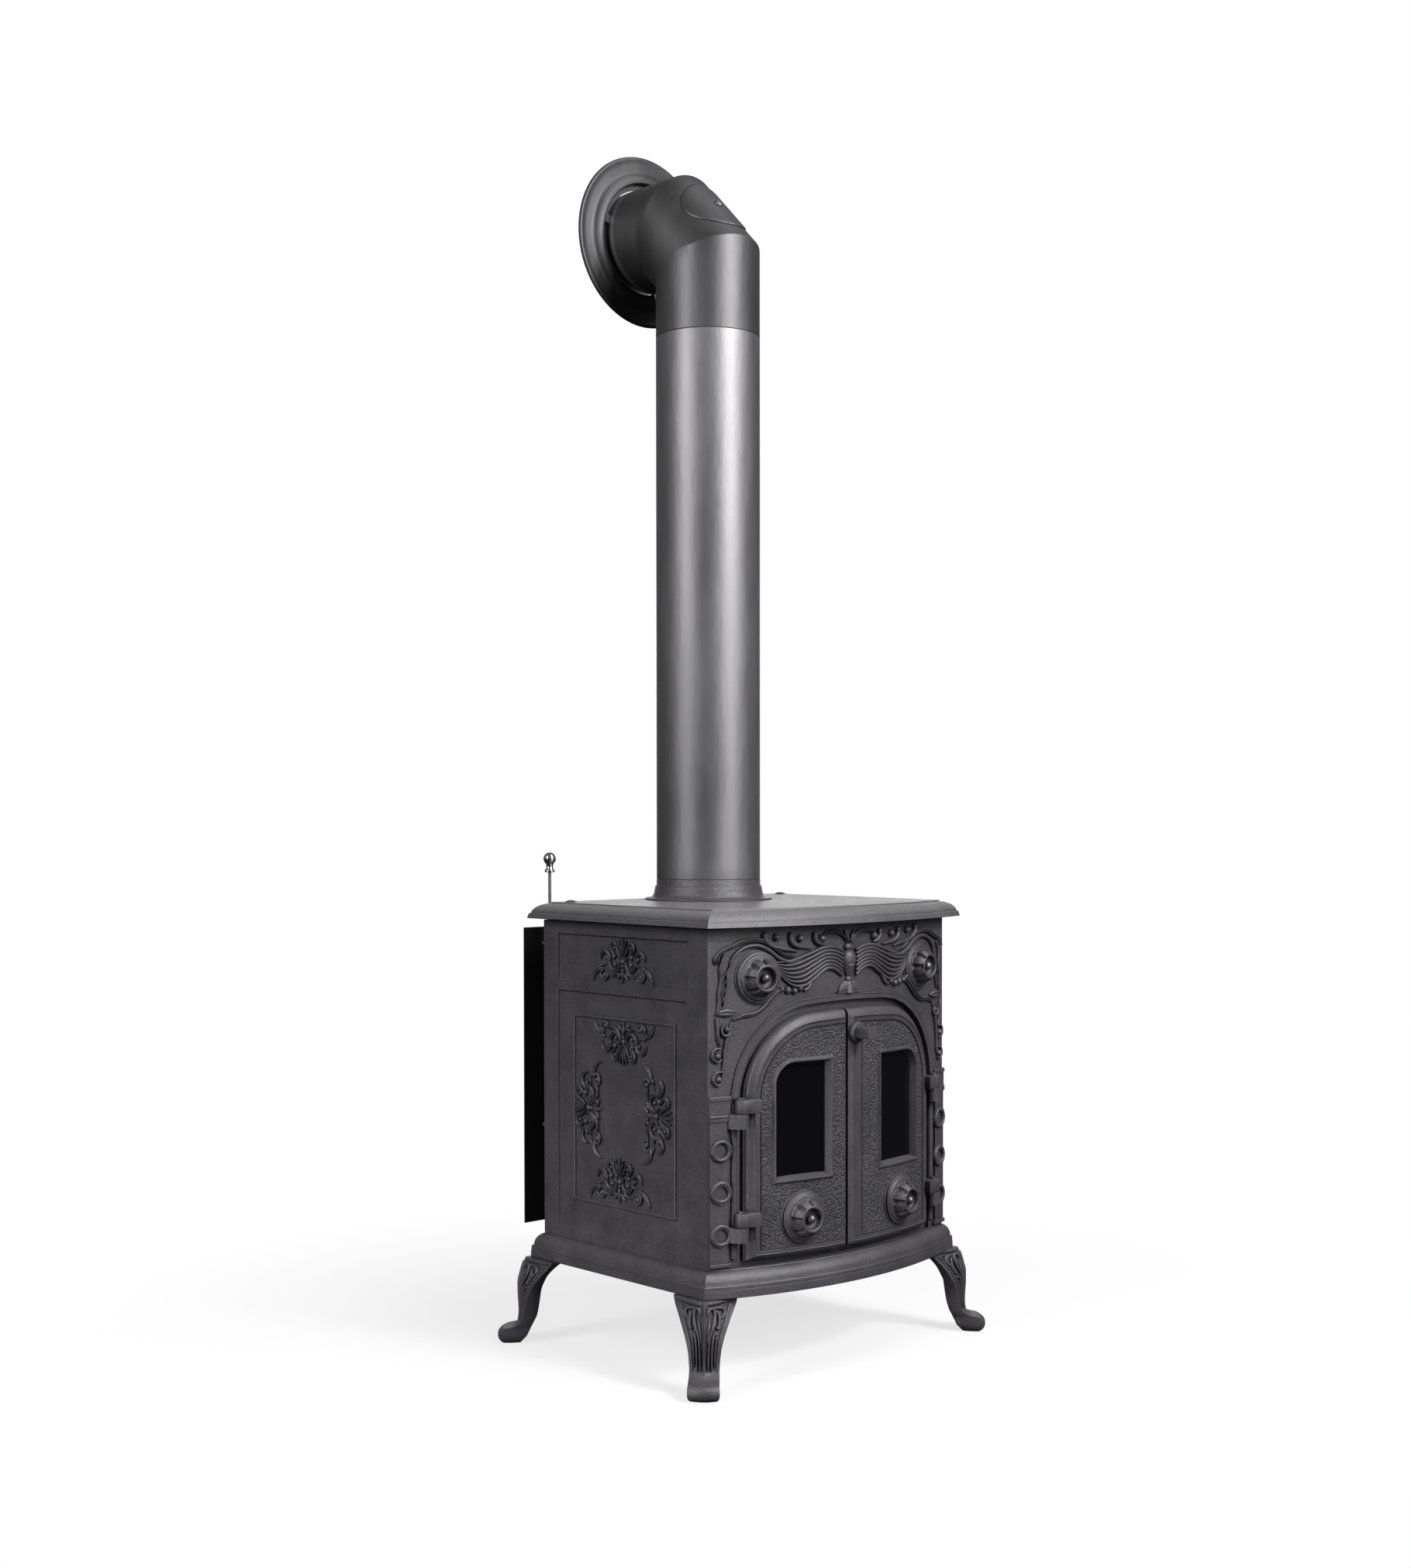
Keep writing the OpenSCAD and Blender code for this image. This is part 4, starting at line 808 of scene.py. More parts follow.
headerStrokes = [
    # outer band from the fan over the damper to the curl at the left
    ([(-97, 556), (-118, 561), (-133, 571), (-152, 580), (-175, 581), (-196, 574), (-211, 568), (-219, 559),
      (-217, 551)],
     [3, 5.5, 6, 6.5, 6.5, 6, 6, 7, 5], 4.2, 0.4),
    # inner band round the damper's seat
    ([(-80, 555), (-105, 550.5), (-124, 556), (-142, 568), (-160, 574), (-180, 571), (-194, 560),
      (-200, 545)],
     [3, 5.5, 6, 6, 6, 5.5, 5, 3], 4.0, 0.0),
    # border: outer line and inner line
    ([(-207, 566), (-213, 548), (-212, 532), (-215, 515), (-215, 500), (-218, 487)], [4, 4, 4, 4, 4, 3],
     3.4, 0),
    ([(-200, 548), (-203, 536), (-203, 520), (-207, 506), (-209, 496)], [3, 4, 4, 3.5, 2], 3.0, 0),
    # hatching between them
    ([(-212, 510), (-203, 523)], [2.4, 2.4], 2.2, 0), ([(-213, 520), (-202, 533)], [2.4, 2.4], 2.2, 0),
    ([(-212, 531), (-202, 543)], [2.4, 2.4], 2.2, 0), ([(-214, 500), (-205, 512)], [2.4, 2.4], 2.2, 0),
    # almond leaf
    ([(-221, 487), (-214, 488), (-205, 488.5), (-196, 488), (-188, 488)], [1.5, 8, 12, 9, 1.5], 3.8, 0.45),
    # lower band, from the leaf along the arch to the berries
    ([(-197, 478), (-180, 483), (-163, 485), (-149, 492), (-137, 503), (-126, 512), (-116, 514)],
     [4, 6, 6.5, 7, 7, 6, 3], 3.8, 0.55),
    ([(-136, 521), (-127, 520), (-119, 515)], [3, 5, 4], 3.8, 0),
    ([(-84, 511), (-75, 515), (-68, 524), (-61, 532)], [5, 6, 5, 2.5], 3.6, 0),
    # stems down the side
    ([(-219, 484), (-217, 470), (-216, 455), (-211, 443)], [3, 4.5, 4.5, 3], 3.4, 0),
    ([(-196, 478), (-200, 466), (-204, 452), (-207, 437), (-208.5, 422), (-209, 408), (-213, 400)],
     [3, 4.5, 5, 4.5, 4, 4, 3], 3.4, 0),
    ([(-197, 470), (-200, 460), (-208, 459), (-211.5, 466), (-208, 473)], [3, 4.5, 4.5, 4, 2.5], 3.8, 0),
    ([(-211, 443), (-222, 441), (-224, 431), (-217, 425), (-210, 429)], [3, 4, 4.5, 4, 2], 3.6, 0),
    ([(-209, 412), (-219, 411), (-223, 402), (-217, 395), (-210, 398)], [2.5, 4, 4.5, 4, 2], 3.6, 0),
    # hooks under the top plate
    ([(-147, 592), (-146, 581), (-137, 573.5), (-122, 569), (-104, 566), (-92, 563)], [8, 8, 7, 6, 5, 2.5],
     4.8, 0),
    ([(-105, 590), (-104, 578), (-95, 571.5), (-82, 569), (-68, 567)], [8, 8, 7, 5.5, 2.5], 4.8, 0),
    ([(-63, 590), (-63, 579), (-56, 573), (-48, 571)], [8, 8, 6.5, 3], 4.6, 0),
    # antennae over the vase
    ([(-3, 572), (-9, 580), (-20, 586.5), (-33, 588), (-44, 586), (-50, 581)], [4, 5, 6, 6, 5, 4], 4.4,
     0.3),
    ([(-1.5, 573), (-5, 581), (-10, 590)], [3.5, 4.5, 1.5], 4.0, 0),
]
headerBalls = [(-128, 584, 5.6, 6.0), (-89, 581, 5.4, 6.0), (-51, 579, 6.2, 6.4), (-203.5, 466.5, 4.4, 5.2),
               (-217, 432.5, 5.0, 5.6), (-216, 402.5, 5.0, 5.6), (-109, 513, 5.8, 4.8),
               (-98.5, 511.5, 5.4, 5.2),
               (-88.5, 514.5, 5.0, 4.8), (-119, 514.5, 4.2, 4.2)]


def vase():
    # The vase of the header, a turned form flattened onto the frame
    prof = [(0, 526), (5, 526.2), (7.5, 530), (10.8, 540), (12.6, 548), (12.0, 554), (9.4, 559),
            (6.8, 561.5),
            (8.6, 563), (9.4, 566), (8.6, 569.5), (6.0, 571.5), (0, 572)]
    foot = [(0, 519.5), (4.5, 519.6), (6.6, 521), (6.4, 524), (4.6, 526.5), (0, 526.6)]
    parts = []
    for p in (prof, foot):
        r, z = np.asarray(p, float).T
        fine = np.linspace(0, 1, 5 * len(r))
        keys = np.linspace(0, 1, len(r))
        r, z = smoothCurve(keys, r, fine), smoothCurve(keys, z, fine)
        a = np.linspace(0, 2 * math.pi, 32, endpoint=False)
        u = r[:, None] * np.cos(a)
        h = r[:, None] * np.sin(a) * 0.72
        parts.append(solidOfRings(onFrame(u, np.repeat(z[:, None], 32, 1), h)))
    for k in range(-3, 4):
        end = (k * 6.4, 506 - 0.5 * abs(k))
        parts.append(stroke([(k * 1.6, 520), (k * 4.2, 516 - 0.6 * abs(k)), end], [4, 7, 7.5],
                            5.6 - 0.5 * abs(k), onFrame))
    parts.append(boxOn(onFrame, -23, 23, 503.5, 506.5, -1, 4.0, 0.9))
    return parts


half = [stroke(p, w, 1.35 * h, onFrame, crease) for p, w, h, crease in headerStrokes]
half += [boss(x, z, r, 1.15 * h, onFrame) for x, z, r, h in headerBalls]
half += ribs()
carving = joined(half)
putPiece("headerCarving", [carving, mirrored(carving)] + vase(), castIron, "stove", 40)
column = joined(pilaster())
putPiece("pilasters", [column, mirrored(column)], castIron, "stove", 35)
putPiece("archMoulding", [archMoulding()], castIron, "stove", 35)
print("front frame")


# ---- doors ----

doorLook = {"hingeX": -178.0, "meet": {"left": -20.0, "right": 16.0}, "bottom": 163.0,
            "bottomShare": 0.62, "stripWidth": 28.0,
            "rim": [(0.0, -6.4), (0.6, -4.6), (1.8, -3.0), (3.6, -1.6), (6.0, -0.3), (8.0, 0.6), (9.2, 1.0),
                    (9.8, 1.8), (10.6, 2.3), (11.5, 2.2), (12.1, 1.3), (12.9, 0.9), (15.2, 0.9),
                    (17.6, 1.0),
                    (18.2, 0.8), (18.6, -1.2), (19.8, -1.4), (20.4, 0.0)],
            "window": (-133.0, -53.0, 269.0, 415.0, 25.0),
            "lip": [(9.0, 0.0), (8.3, 0.4), (7.8, 1.8), (7.0, 2.9), (5.8, 3.2), (4.6, 2.9), (3.8, 1.6),
                    (1.6, -4.4),
                    (0.4, -7.2), (0.0, -7.7)],
            "fieldRows": 46, "counts": (80, 110, 120, 120)}


def doorLoop(grow, meet):
    # The left door's outline, pulled in by grow, as bottom, hinge side, arch and meeting edge;
    # meet is where its meeting edge stands
    look = doorLook
    nB, nH, nA, nM = look["counts"]
    x0 = look["hingeX"] + grow
    z0 = look["bottom"] + look["bottomShare"] * grow
    bottom = np.stack([np.linspace(meet, x0, nB, endpoint=False), np.full(nB, z0)], -1)
    hinge = np.stack([np.full(nH, x0), np.linspace(z0, archLook["springZ"], nH, endpoint=False)], -1)
    arc = archCurve(-grow, 160)
    arc = arc[arc[:, 0] < 60]
    step = np.concatenate([[0], np.cumsum(np.linalg.norm(np.diff(arc, axis=0), axis=1))])
    end = np.interp(meet, arc[:, 0], step)
    at = np.linspace(0, end, nA, endpoint=False)
    arch = np.stack([np.interp(at, step, arc[:, 0]), np.interp(at, step, arc[:, 1])], -1)
    topZ = np.interp(meet, arc[:, 0], arc[:, 1])
    side = np.stack([np.full(nM, meet), np.linspace(topZ, z0, nM, endpoint=False)], -1)
    return np.concatenate([bottom, hinge, arch, side])


def windowLoop(grow):
    # The window's outline grown by grow, with as many points a side as the door's outline
    x0, x1, z0, z1, r = doorLook["window"]
    x0, x1, z0, z1, r = x0 - grow, x1 + grow, z0 - grow, z1 + grow, r + grow
    nB, nH, nA, nM = doorLook["counts"]
    bottom = np.stack([np.linspace(x1, x0, nB, endpoint=False), np.full(nB, z0)], -1)
    zTurn = z1 - r
    hinge = np.stack([np.full(nH, x0), np.linspace(z0, zTurn, nH, endpoint=False)], -1)
    arcLength, flat = math.pi / 2 * r, x1 - x0 - r
    at = np.linspace(0, arcLength + flat, nA, endpoint=False)
    a = np.minimum(at / r, math.pi / 2)
    arch = np.stack([x0 + r - r * np.cos(a) + np.maximum(0, at - arcLength), zTurn + r * np.sin(a)], -1)
    side = np.stack([np.full(nM, x1), np.linspace(z1, z0, nM, endpoint=False)], -1)
    return np.concatenate([bottom, hinge, arch, side])


def pebble(x, z, seed):
    # Orange-peel relief of the doors: many plane waves of 5 to 9 mm with random turns and phases
    rng = np.random.default_rng(seed)
    waves = 36
    turn = rng.uniform(0, 2 * math.pi, waves)
    k = 2 * math.pi / rng.uniform(4.6, 9.0, waves)
    phase = rng.uniform(0, 2 * math.pi, waves)
    total = np.zeros(x.shape)
    for i in range(waves):
        total += np.sin(k[i] * (x * math.cos(turn[i]) + z * math.sin(turn[i])) + phase[i])
    return np.tanh(total / math.sqrt(waves / 2) * 1.1)


def doorShell(meet, strip, seed):
    # Rows from the door's back edge over the rim, across the field to the window, down its
    # reveal and back along the inside; the plate is a closed band round the window
    look = doorLook
    rows, heights, ground = [], [], []
    for off, h in look["rim"]:
        share = min(1.0, max(0.0, (off - 7) / 13.4))
        inset = 0.05 * off + (strip * share if strip else 0.0)
        loop = doorLoop(off, meet - inset)
        away = np.clip((meet - loop[:, 0]) / 5.0, 0, 1)
        soft = 1.0 if strip else away * away * (3 - 2 * away)
        rows.append(loop)
        heights.append(np.where(h > 0, h * soft, h) * np.ones(len(loop)))
        ground.append(0)
    outer, inner = rows[-1], windowLoop(look["lip"][0][0])
    for f in np.linspace(0, 1, look["fieldRows"] + 2)[1:-1]:
        loop = outer * (1 - f) + inner * f
        edge = min(1.0, 6 * f, 6 * (1 - f))
        rows.append(loop)
        heights.append(0.22 * edge * pebble(loop[:, 0], loop[:, 1], seed))
        ground.append(1)
    for off, h in look["lip"]:
        rows.append(windowLoop(off))
        heights.append(np.full(len(inner), h))
        ground.append(0)
    front = onDoor(np.stack(rows)[..., 0], np.stack(rows)[..., 1], np.stack(heights))
    back = [onDoor(*windowLoop(2.0).T, np.full(len(inner), -8.0)),
            onDoor(*windowLoop(12.0).T, np.full(len(inner), -6.4)),
            onDoor(*doorLoop(16, meet - 14).T, np.full(len(inner), -6.4))]
    for off in (15.5, 0.4, 0.0):
        loop = doorLoop(off, meet - (off * 0.85 if off > 1 else 0.05))
        y = frameCy - np.sqrt(doorBackR ** 2 - loop[:, 0] ** 2) - (0.0 if off else 0.4)
        back.append(np.stack([loop[:, 0], y, loop[:, 1]], -1))
    pts = np.concatenate([front, np.stack(back)])
    cols = pts.shape[1]
    hammered = np.repeat(np.array(ground[:-1] + [0] * (len(pts) - len(ground) + 1)), cols)
    return torus(pts), hammered


knuckleLook = {"radius": 9.0, "pinX": -188.0, "pinY": -190.0, "height": 18.0, "zs": (357.0, 209.0),
               "bevel": 1.2}


def knuckleParts():
    # A door knuckle: round about the pin, flat towards the door and lost in its rim
    look = knuckleLook
    a = np.radians(np.linspace(100, 262, 19))
    plan = np.stack([look["pinX"] + look["radius"] * np.cos(a), look["pinY"] + look["radius"] * np.sin(a)],
                    -1)
    plan = np.concatenate([plan, [(-184, -199.2), (-177, -199.6), (-170, -202.4), (-166, -203.6),
                                  (-166, -191),
                                  (-172, -184), (-180, -181.6)]])
    parts = []
    for z in look["zs"]:
        rings = []
        for dz, pull in ((0, look["bevel"]), (look["bevel"] * 0.4, 0.35), (look["bevel"], 0),
                         (look["height"] - look["bevel"], 0),
                         (look["height"] - look["bevel"] * 0.4, 0.35), (look["height"], look["bevel"])):
            c = plan.mean(0)
            d = plan - c
            p = c + d * (1 - pull / np.linalg.norm(d, axis=1, keepdims=True))
            rings.append(np.concatenate([p, np.full((len(p), 1), z + dz)], 1))
        parts.append(loft(np.stack(rings)))
    return parts


seatProfile = [(30, -1), (35.6, -1), (36.2, 0.4), (35.8, 1.3), (34.8, 1.6), (30, 1.4)]


def makeDoor(side):
    flip = side == "right"
    # The right door is made as a left one whose meeting edge lies across the middle
    meet = doorLook["meet"][side]
    plate, hammered = doorShell(meet, doorLook["stripWidth"] if flip else 0.0, 7 if flip else 3)
    knuckles = knuckleParts()
    seat = surfaceRing(-94, 213, seatProfile, onDoor, 0)
    parts = [plate, joined(knuckles), seat]
    if flip:
        parts = [mirrored(p) for p in parts]
        parts.append(turned([(0, -4), (13.2, -4), (13.4, 0.2), (12.8, 1.0), (0, 1.0)],
                            (-2, doorCy - doorR, 452), (0, -1, 0), 48))
    index = np.zeros(sum(len(p[1]) + len(p[2]) for p in parts), int)
    index[:len(hammered)] = hammered
    piece = putPiece(side + "Door", parts, castIron, side + "_door", 32, [hammeredIron], index)
    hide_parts(side + "_door")


makeDoor("left")
makeDoor("right")
print("doors")


# ---- spin dampers ----

damperLook = {"lobes": 8, "segments": 160,
              "profile": [(4.2, 0.0), (32.6, 0.0), (33.8, 0.5), (34.0, 1.4), (33.4, 2.3), (32.4, 2.6),
                          (30.8, 2.7),
                          (30.2, 3.2), (29.9, 4.2), (29.0, 4.9), (27.0, 5.0), (25.2, 5.2), (24.4, 6.0),
                          (24.0, 7.0), (23.8, 9.5), (23.2, 12.5), (22.0, 15.2), (20.2, 17.6), (18.6, 19.4),
                          (18.0, 20.3), (16.6, 20.9), (15.2, 20.9), (14.4, 20.3), (14.0, 19.0),
                          (13.6, 16.0),
                          (12.4, 13.6), (10.5, 12.6), (4.2, 12.2)]}


def lobeWave(a, r, z):
    # Flutes between the lobes: the radius dips in narrow notches on the knob's flank only
    flank = np.clip((z - 5.2) / 1.2, 0, 1) * np.clip((20.4 - z) / 1.5, 0, 1) * (r > 15)
    notch = np.clip(np.cos(a * damperLook["lobes"]) - 0.3, 0, 1) / 0.7
    return r - 4.6 * flank * notch ** 0.6, z


damperSpots = {"damper_lower_left": (-94, 213, "door"), "damper_lower_right": (94, 213, "door"),
               "damper_upper_left": (-156, 532, "frame"), "damper_upper_right": (156, 532, "frame")}


def spotOnBow(x, z, where, lift):
    # A point lift above a bowed surface, and the surface's outward direction there
    r, cy = (doorR, doorCy) if where == "door" else (frameR, frameCy)
    s = x / r
    out = np.array([s, -math.sqrt(1 - s * s), 0])
    return np.array([0, cy, z]) + out * (r + lift), out


for node, (x, z, where) in damperSpots.items():
    origin, out = spotOnBow(x, z, where, 1.7)
    words = node.split("_")
    name = words[0] + words[1].capitalize() + words[2].capitalize()
    knob = turned(damperLook["profile"], origin, out, damperLook["segments"], lobeWave, 0.1 * (x % 7))
    piece = putPiece(name, knob, castIron, node, 38)
    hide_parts(node)
print("dampers")


# ---- upper seats and stud heads ----

putPiece("upperSeats", [surfaceRing(s * 156, 532, seatProfile, onFrame, 0) for s in (-1, 1)], castIron,
         "stove", 35)
ballProfile = [(0, 9.9), (2.6, 10.2), (4.6, 11.4), (5.8, 13.4), (6.0, 15.4), (5.4, 17.6), (4.2, 19.2),
               (3.4, 19.9),
               (2.6, 20.4), (2.2, 21.2), (1.6, 21.7), (0, 21.8)]
for node, (x, z, where) in damperSpots.items():
    origin, out = spotOnBow(x, z, where, 1.7)
    rider = {"damper_lower_left": "left_door", "damper_lower_right": "right_door"}.get(node, "stove")
    putPiece("studHead" + "".join(w.capitalize() for w in node.split("_")[1:]),
             turned(ballProfile, origin, out, 40), castIron, rider, 45)


# ---- latch ----

latchLook = {"x": -2.0, "z": 452.0, "square": 14.5}
latchFoot = (latchLook["x"], doorCy - doorR - 1.3, latchLook["z"])


def squareStub():
    # A square bar with worn edges: a superellipse of high power carried along the spindle
    a = np.linspace(0, 2 * math.pi, 64, endpoint=False)
    half = latchLook["square"] / 2
    cosA, sinA = np.cos(a), np.sin(a)
    r = (np.abs(cosA) ** 14 + np.abs(sinA) ** 14) ** (-1 / 14)
    y0 = latchFoot[1]
    rings = []
    for d, k in ((0, 1), (5, 1), (6, 1), (29.6, 1), (31.2, 0.97), (32.0, 0.9)):
        rings.append(np.stack([latchLook["x"] + half * k * r * cosA, np.full(64, y0 - d),
                               latchLook["z"] + half * k * r * sinA], -1))
    return loft(np.stack(rings))


latchParts = [turned([(0, 0.0), (13.4, 0.0), (14.0, 0.6), (14.0, 4.6), (13.4, 5.6), (12.0, 6.1), (9.6, 6.3),
                      (0, 6.3)],
                     latchFoot, (0, -1, 0), 56),
              squareStub(),
              turned([(0, -40), (4, -40), (4, 1), (0, 1)], latchFoot, (0, -1, 0), 24)]
piece = putPiece("latchSpindle", latchParts, castIron, "latch", 35)
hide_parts("latch_spindle")
print("latch")


# ---- legs ----

legLook = {"corner": (244.0, 179.0, 184.0), "height": 120.0,
           # height share, ridge reach, back reach, half width, ridge share
           "rings": [(0.0, 37.4, 14, 14.0, 0.0), (0.01, 41.4, 13, 17.0, 0.0), (0.028, 44.4, 11, 19.2, 0.0),
                     (0.055, 46.4, 8, 20.5, 0.0), (0.09, 46.9, 4, 21.0, 0.0), (0.13, 46.0, 2, 20.9, 0.0),
                     (0.16, 43.2, 0, 20.6, 0.0), (0.178, 38.6, -1, 20.3, 0.02),
                     (0.187, 33, -1.5, 20.2, 0.05),
                     (0.196, 27.4, -2, 20.1, 0.09), (0.212, 22.8, -3, 20.0, 0.16),
                     (0.24, 19.2, -5, 19.8, 0.25),
                     (0.28, 17.2, -7, 19.7, 0.34), (0.36, 16.4, -9, 20.2, 0.42),
                     (0.47, 16.8, -11, 21.6, 0.55),
                     (0.58, 17.6, -13, 24.6, 0.68), (0.7, 17.6, -19, 29.2, 0.82),
                     (0.82, 14.6, -27, 34.6, 0.93),
                     (0.92, 11, -38, 39.6, 1.0), (1.0, 7.2, -50, 42, 1.0)]}


def legCurves(s):
    # Ridge reach, back reach, half width and ridge share at the height share s
    r = np.array(legLook["rings"])
    return [smoothCurve(r[:, 0], r[:, k], s) for k in range(1, 5)]


def legFront(t, s, h):
    # The leg's outer surface in its own frame: t from -1 to 1 across both faces, s up the height;
    # h is measured square to the face
    reach, _, halfW, share = legCurves(s)
    tangent = np.sqrt(1 + share ** 2)
    sign = np.sign(t)
    nose = 0.25 * np.clip((0.21 - s) / 0.05, 0, 1)
    u = reach - share * halfW * np.abs(t) - nose * halfW * t * t + h / tangent
    v = halfW * t + sign * h * share / tangent
    return np.stack([u, v, s * legLook["height"]], -1)


def halfAt(s):
    # Half the leg's width at the height share s
    return legCurves(s)[2]


def legBody():
    # Rings up the leg: the two front faces, then the narrower back
    s = np.concatenate([np.linspace(0, 0.3, 60), np.linspace(0.312, 1, 58)])
    t = np.concatenate([np.linspace(-1, 0, 17), np.linspace(0, 1, 17)[1:]])
    ss, tt = np.meshgrid(s, t, indexing="ij")
    # Each face is a little hollow between its rim and the ridge
    across = np.abs(tt) * halfAt(ss)
    hollow = np.sin(np.pi * np.clip((across - 1.2) / (halfAt(ss) * 0.82), 0, 1)) ** 0.6
    hollow *= -(1.5 + 1.6 * np.exp(-((ss - 0.38) / 0.12) ** 2)) * np.clip((ss - 0.225) / 0.05, 0, 1) \
        * np.clip((0.965 - ss) / 0.03, 0, 1)
    front = legFront(tt, ss, hollow)
    reach, back, halfW, share = legCurves(s)
    side = np.minimum(halfW * 0.72, 30)
    cheek = np.maximum(reach - share * halfW, back + 3) * 0.45 + back * 0.55
    up = s * legLook["height"]
    rear = [(cheek, halfW * 0.94), (back, side), (back, 0 * s), (back, -side), (cheek, -halfW * 0.94)]
    rear = np.stack([np.stack([u, v, up], -1) for u, v in rear], 1)
    return loft(np.concatenate([front, rear], 1))


# Strokes on one face of a leg, as (distance from the ridge, height above the floor)
legStrokes = [
    # rim along the edge, cornice under the base and the line below it
    ([(32.5, 115), (27.5, 97), (22.6, 82), (18.8, 69), (17.0, 55), (16.2, 40), (16.6, 31)],
     [2.6, 2.6, 2.4, 2.2, 2, 1.8, 1.2], 1.8, 0),
    ([(2, 117.6), (20, 117.4), (39, 118)], [4.6, 4.6, 4.6], 2.6, 0),
    ([(3, 112.2), (16, 111.2), (30, 113.4)], [2.4, 2.4, 2.4], 1.7, 0),
    # curls with a bead at each end
    ([(12, 111), (18, 110.6), (23.8, 108), (25.6, 103), (23.4, 98.6)], [1.6, 3.2, 3.8, 3.6, 3.0], 2.8, 0),
    ([(14.6, 108), (17.8, 103), (19.0, 96), (18.6, 90), (17.8, 86.4)], [1.6, 2.8, 3.2, 3.2, 2.6], 2.6, 0),
    ([(23.2, 97), (21.0, 92), (20.4, 86)], [1.6, 2.2, 1.2], 1.8, 0),
    # leaf lobe beside the ridge, running out in a long flute
    ([(4.4, 103), (5.0, 108.6), (8.6, 111.2), (12, 108.4), (13, 101), (12, 93), (9.2, 84), (6.8, 76),
      (5.8, 66), (5.4, 50),
      (5.2, 31)], [1.6, 2.8, 3.2, 3.2, 3.0, 3.0, 2.6, 2.4, 2.2, 2.0, 1.0], 2.9, 0),
    ([(6.6, 99), (6.4, 90), (4.8, 80), (3.4, 68)], [1.4, 2.8, 2.4, 1.2], 2.0, 0),
    ([(13.6, 84), (11.2, 76), (10.0, 64), (9.6, 48), (9.6, 32)], [1.6, 2.8, 2.6, 2.0, 1.0], 2.5, 0),
    ([(15.2, 75), (14.2, 62), (13.4, 48), (13.4, 38)], [1.6, 2.2, 1.6, 0.8], 2.0, 0)]
legBalls = [(22.6, 98.4, 3.0, 3.8), (17.6, 86.4, 3.0, 3.8), (15.2, 78.4, 2.2, 2.4)]


def legParts():
    parts = [legBody()]
    for sign in (1, -1):
        def place(u, v, d, k=sign):
            # From (distance from the ridge, height) to the face, and off it by d
            s = np.clip(v / legLook["height"], 0, 0.992)
            return legFront(k * np.clip(u / halfAt(s), 0.0, 0.995), s, d - 1.0)
        parts += [stroke(pts, [1.25 * x for x in w], 1.3 * h, place, crease, 1.4) for pts, w, h,
                  crease in legStrokes]
        parts += [boss(u, v, r, h, place, segments=12, sink=1.4) for u, v, r, h in legBalls]

    def middle(u, v, d):
        s = np.clip(v / legLook["height"], 0, 0.985)
        return legFront(u / halfAt(s), s, 0 * d) + np.stack([d, 0 * d, 0 * d], -1)
    parts.append(stroke([(0, 29), (0, 60), (0, 90), (0, 116)], [2.4, 3.4, 3.6, 4], 1.8, middle, 0, 1.5, 40))
    return joined(parts)


def placeLeg(part, sx, sy):
    # From the leg's own frame, outward and across, to the base's corner
    v, q, t = part
    cx, cyFront, cyRear = legLook["corner"]
    out = np.array([sx, sy, 0]) / math.sqrt(2)
    across = np.array([-sy, sx, 0]) / math.sqrt(2)
    corner = np.array([sx * cx, -cyFront if sy < 0 else cyRear, 0])
    w = corner + v[:, :1] * out + v[:, 1:2] * across + v[:, 2:] * np.array([0, 0, 1])
    return w, q, t


leg = legParts()
for sx, sy, name in ((-1, -1, "frontLeft"), (1, -1, "frontRight"), (-1, 1, "rearLeft"),
                     (1, 1, "rearRight")):
    node = "leg_" + ("front" if sy < 0 else "rear") + ("_left" if sx < 0 else "_right")
    piece = putPiece(name + "Leg", placeLeg(leg, sx, sy), castIron, "stove", 42)
    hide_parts(node)
print("legs")


# ---- flue ----

flueLook = {"y": 77.0, "radius": 75.0, "bore": 73.0, "low": 652.0, "high": 1431.0, "outletZ": 1597.0,
            "mitreZ": 1533.0, "mitreY": 141.0, "endY": 200.0, "wallY": 219, "segments": 160}


def collar():
    # A flange on the top plate and the socket that the pipe stands in
    prof = [(70, 622.0), (91.4, 622.0), (92.0, 622.6), (91.8, 624.0), (90.8, 624.6), (88.0, 624.8),
            (85.0, 625.0),
            (82.4, 626.2), (80.6, 628.2), (79.4, 631.0), (78.6, 634.0), (77.8, 638.0), (77.2, 641.6),
            (76.6, 642.4),
            (75.6, 642.8), (75.3, 643.6), (75.3, 650.6), (74.9, 651.8), (73.2, 651.9), (70, 651.9)]
    return turned(prof, (0, flueLook["y"], 0), (0, 0, 1), 144)


def pipeWall(z0, z1):
    # A rolled tube with its lips turned in a little
    r, b = flueLook["radius"], flueLook["bore"]
    prof = [(b, z0), (r - 0.5, z0), (r - 0.1, z0 + 0.5), (r, z0 + 1.2)]
    prof += [(r, z) for z in np.linspace(z0 + 20, z1 - 20, 24)]
    prof += [(r, z1 - 1.2), (r - 0.1, z1 - 0.5), (r - 0.5, z1), (b, z1)]
    return turned(prof, (0, flueLook["y"], 0), (0, 0, 1), flueLook["segments"])


def mitredLeg(start, direction, cutA, cutB, radius):
    # A tube's wall between two planes: each line of the tube runs along direction and is cut where
    # it meets the planes, given as (point, normal)
    a = np.linspace(0, 2 * math.pi, flueLook["segments"], endpoint=False)
    d = np.asarray(direction, float) / np.linalg.norm(direction)
    x = np.array([1.0, 0, 0])
    y = np.cross(d, x)
    rim = np.asarray(start, float) + radius * (np.cos(a)[:, None] * x + np.sin(a)[:, None] * y)
    ends = []
    for point, normal in (cutA, cutB):
        n = np.asarray(normal, float)
        t = ((np.asarray(point, float) - rim) @ n) / (d @ n)
        ends.append(rim + t[:, None] * d)
    return ends


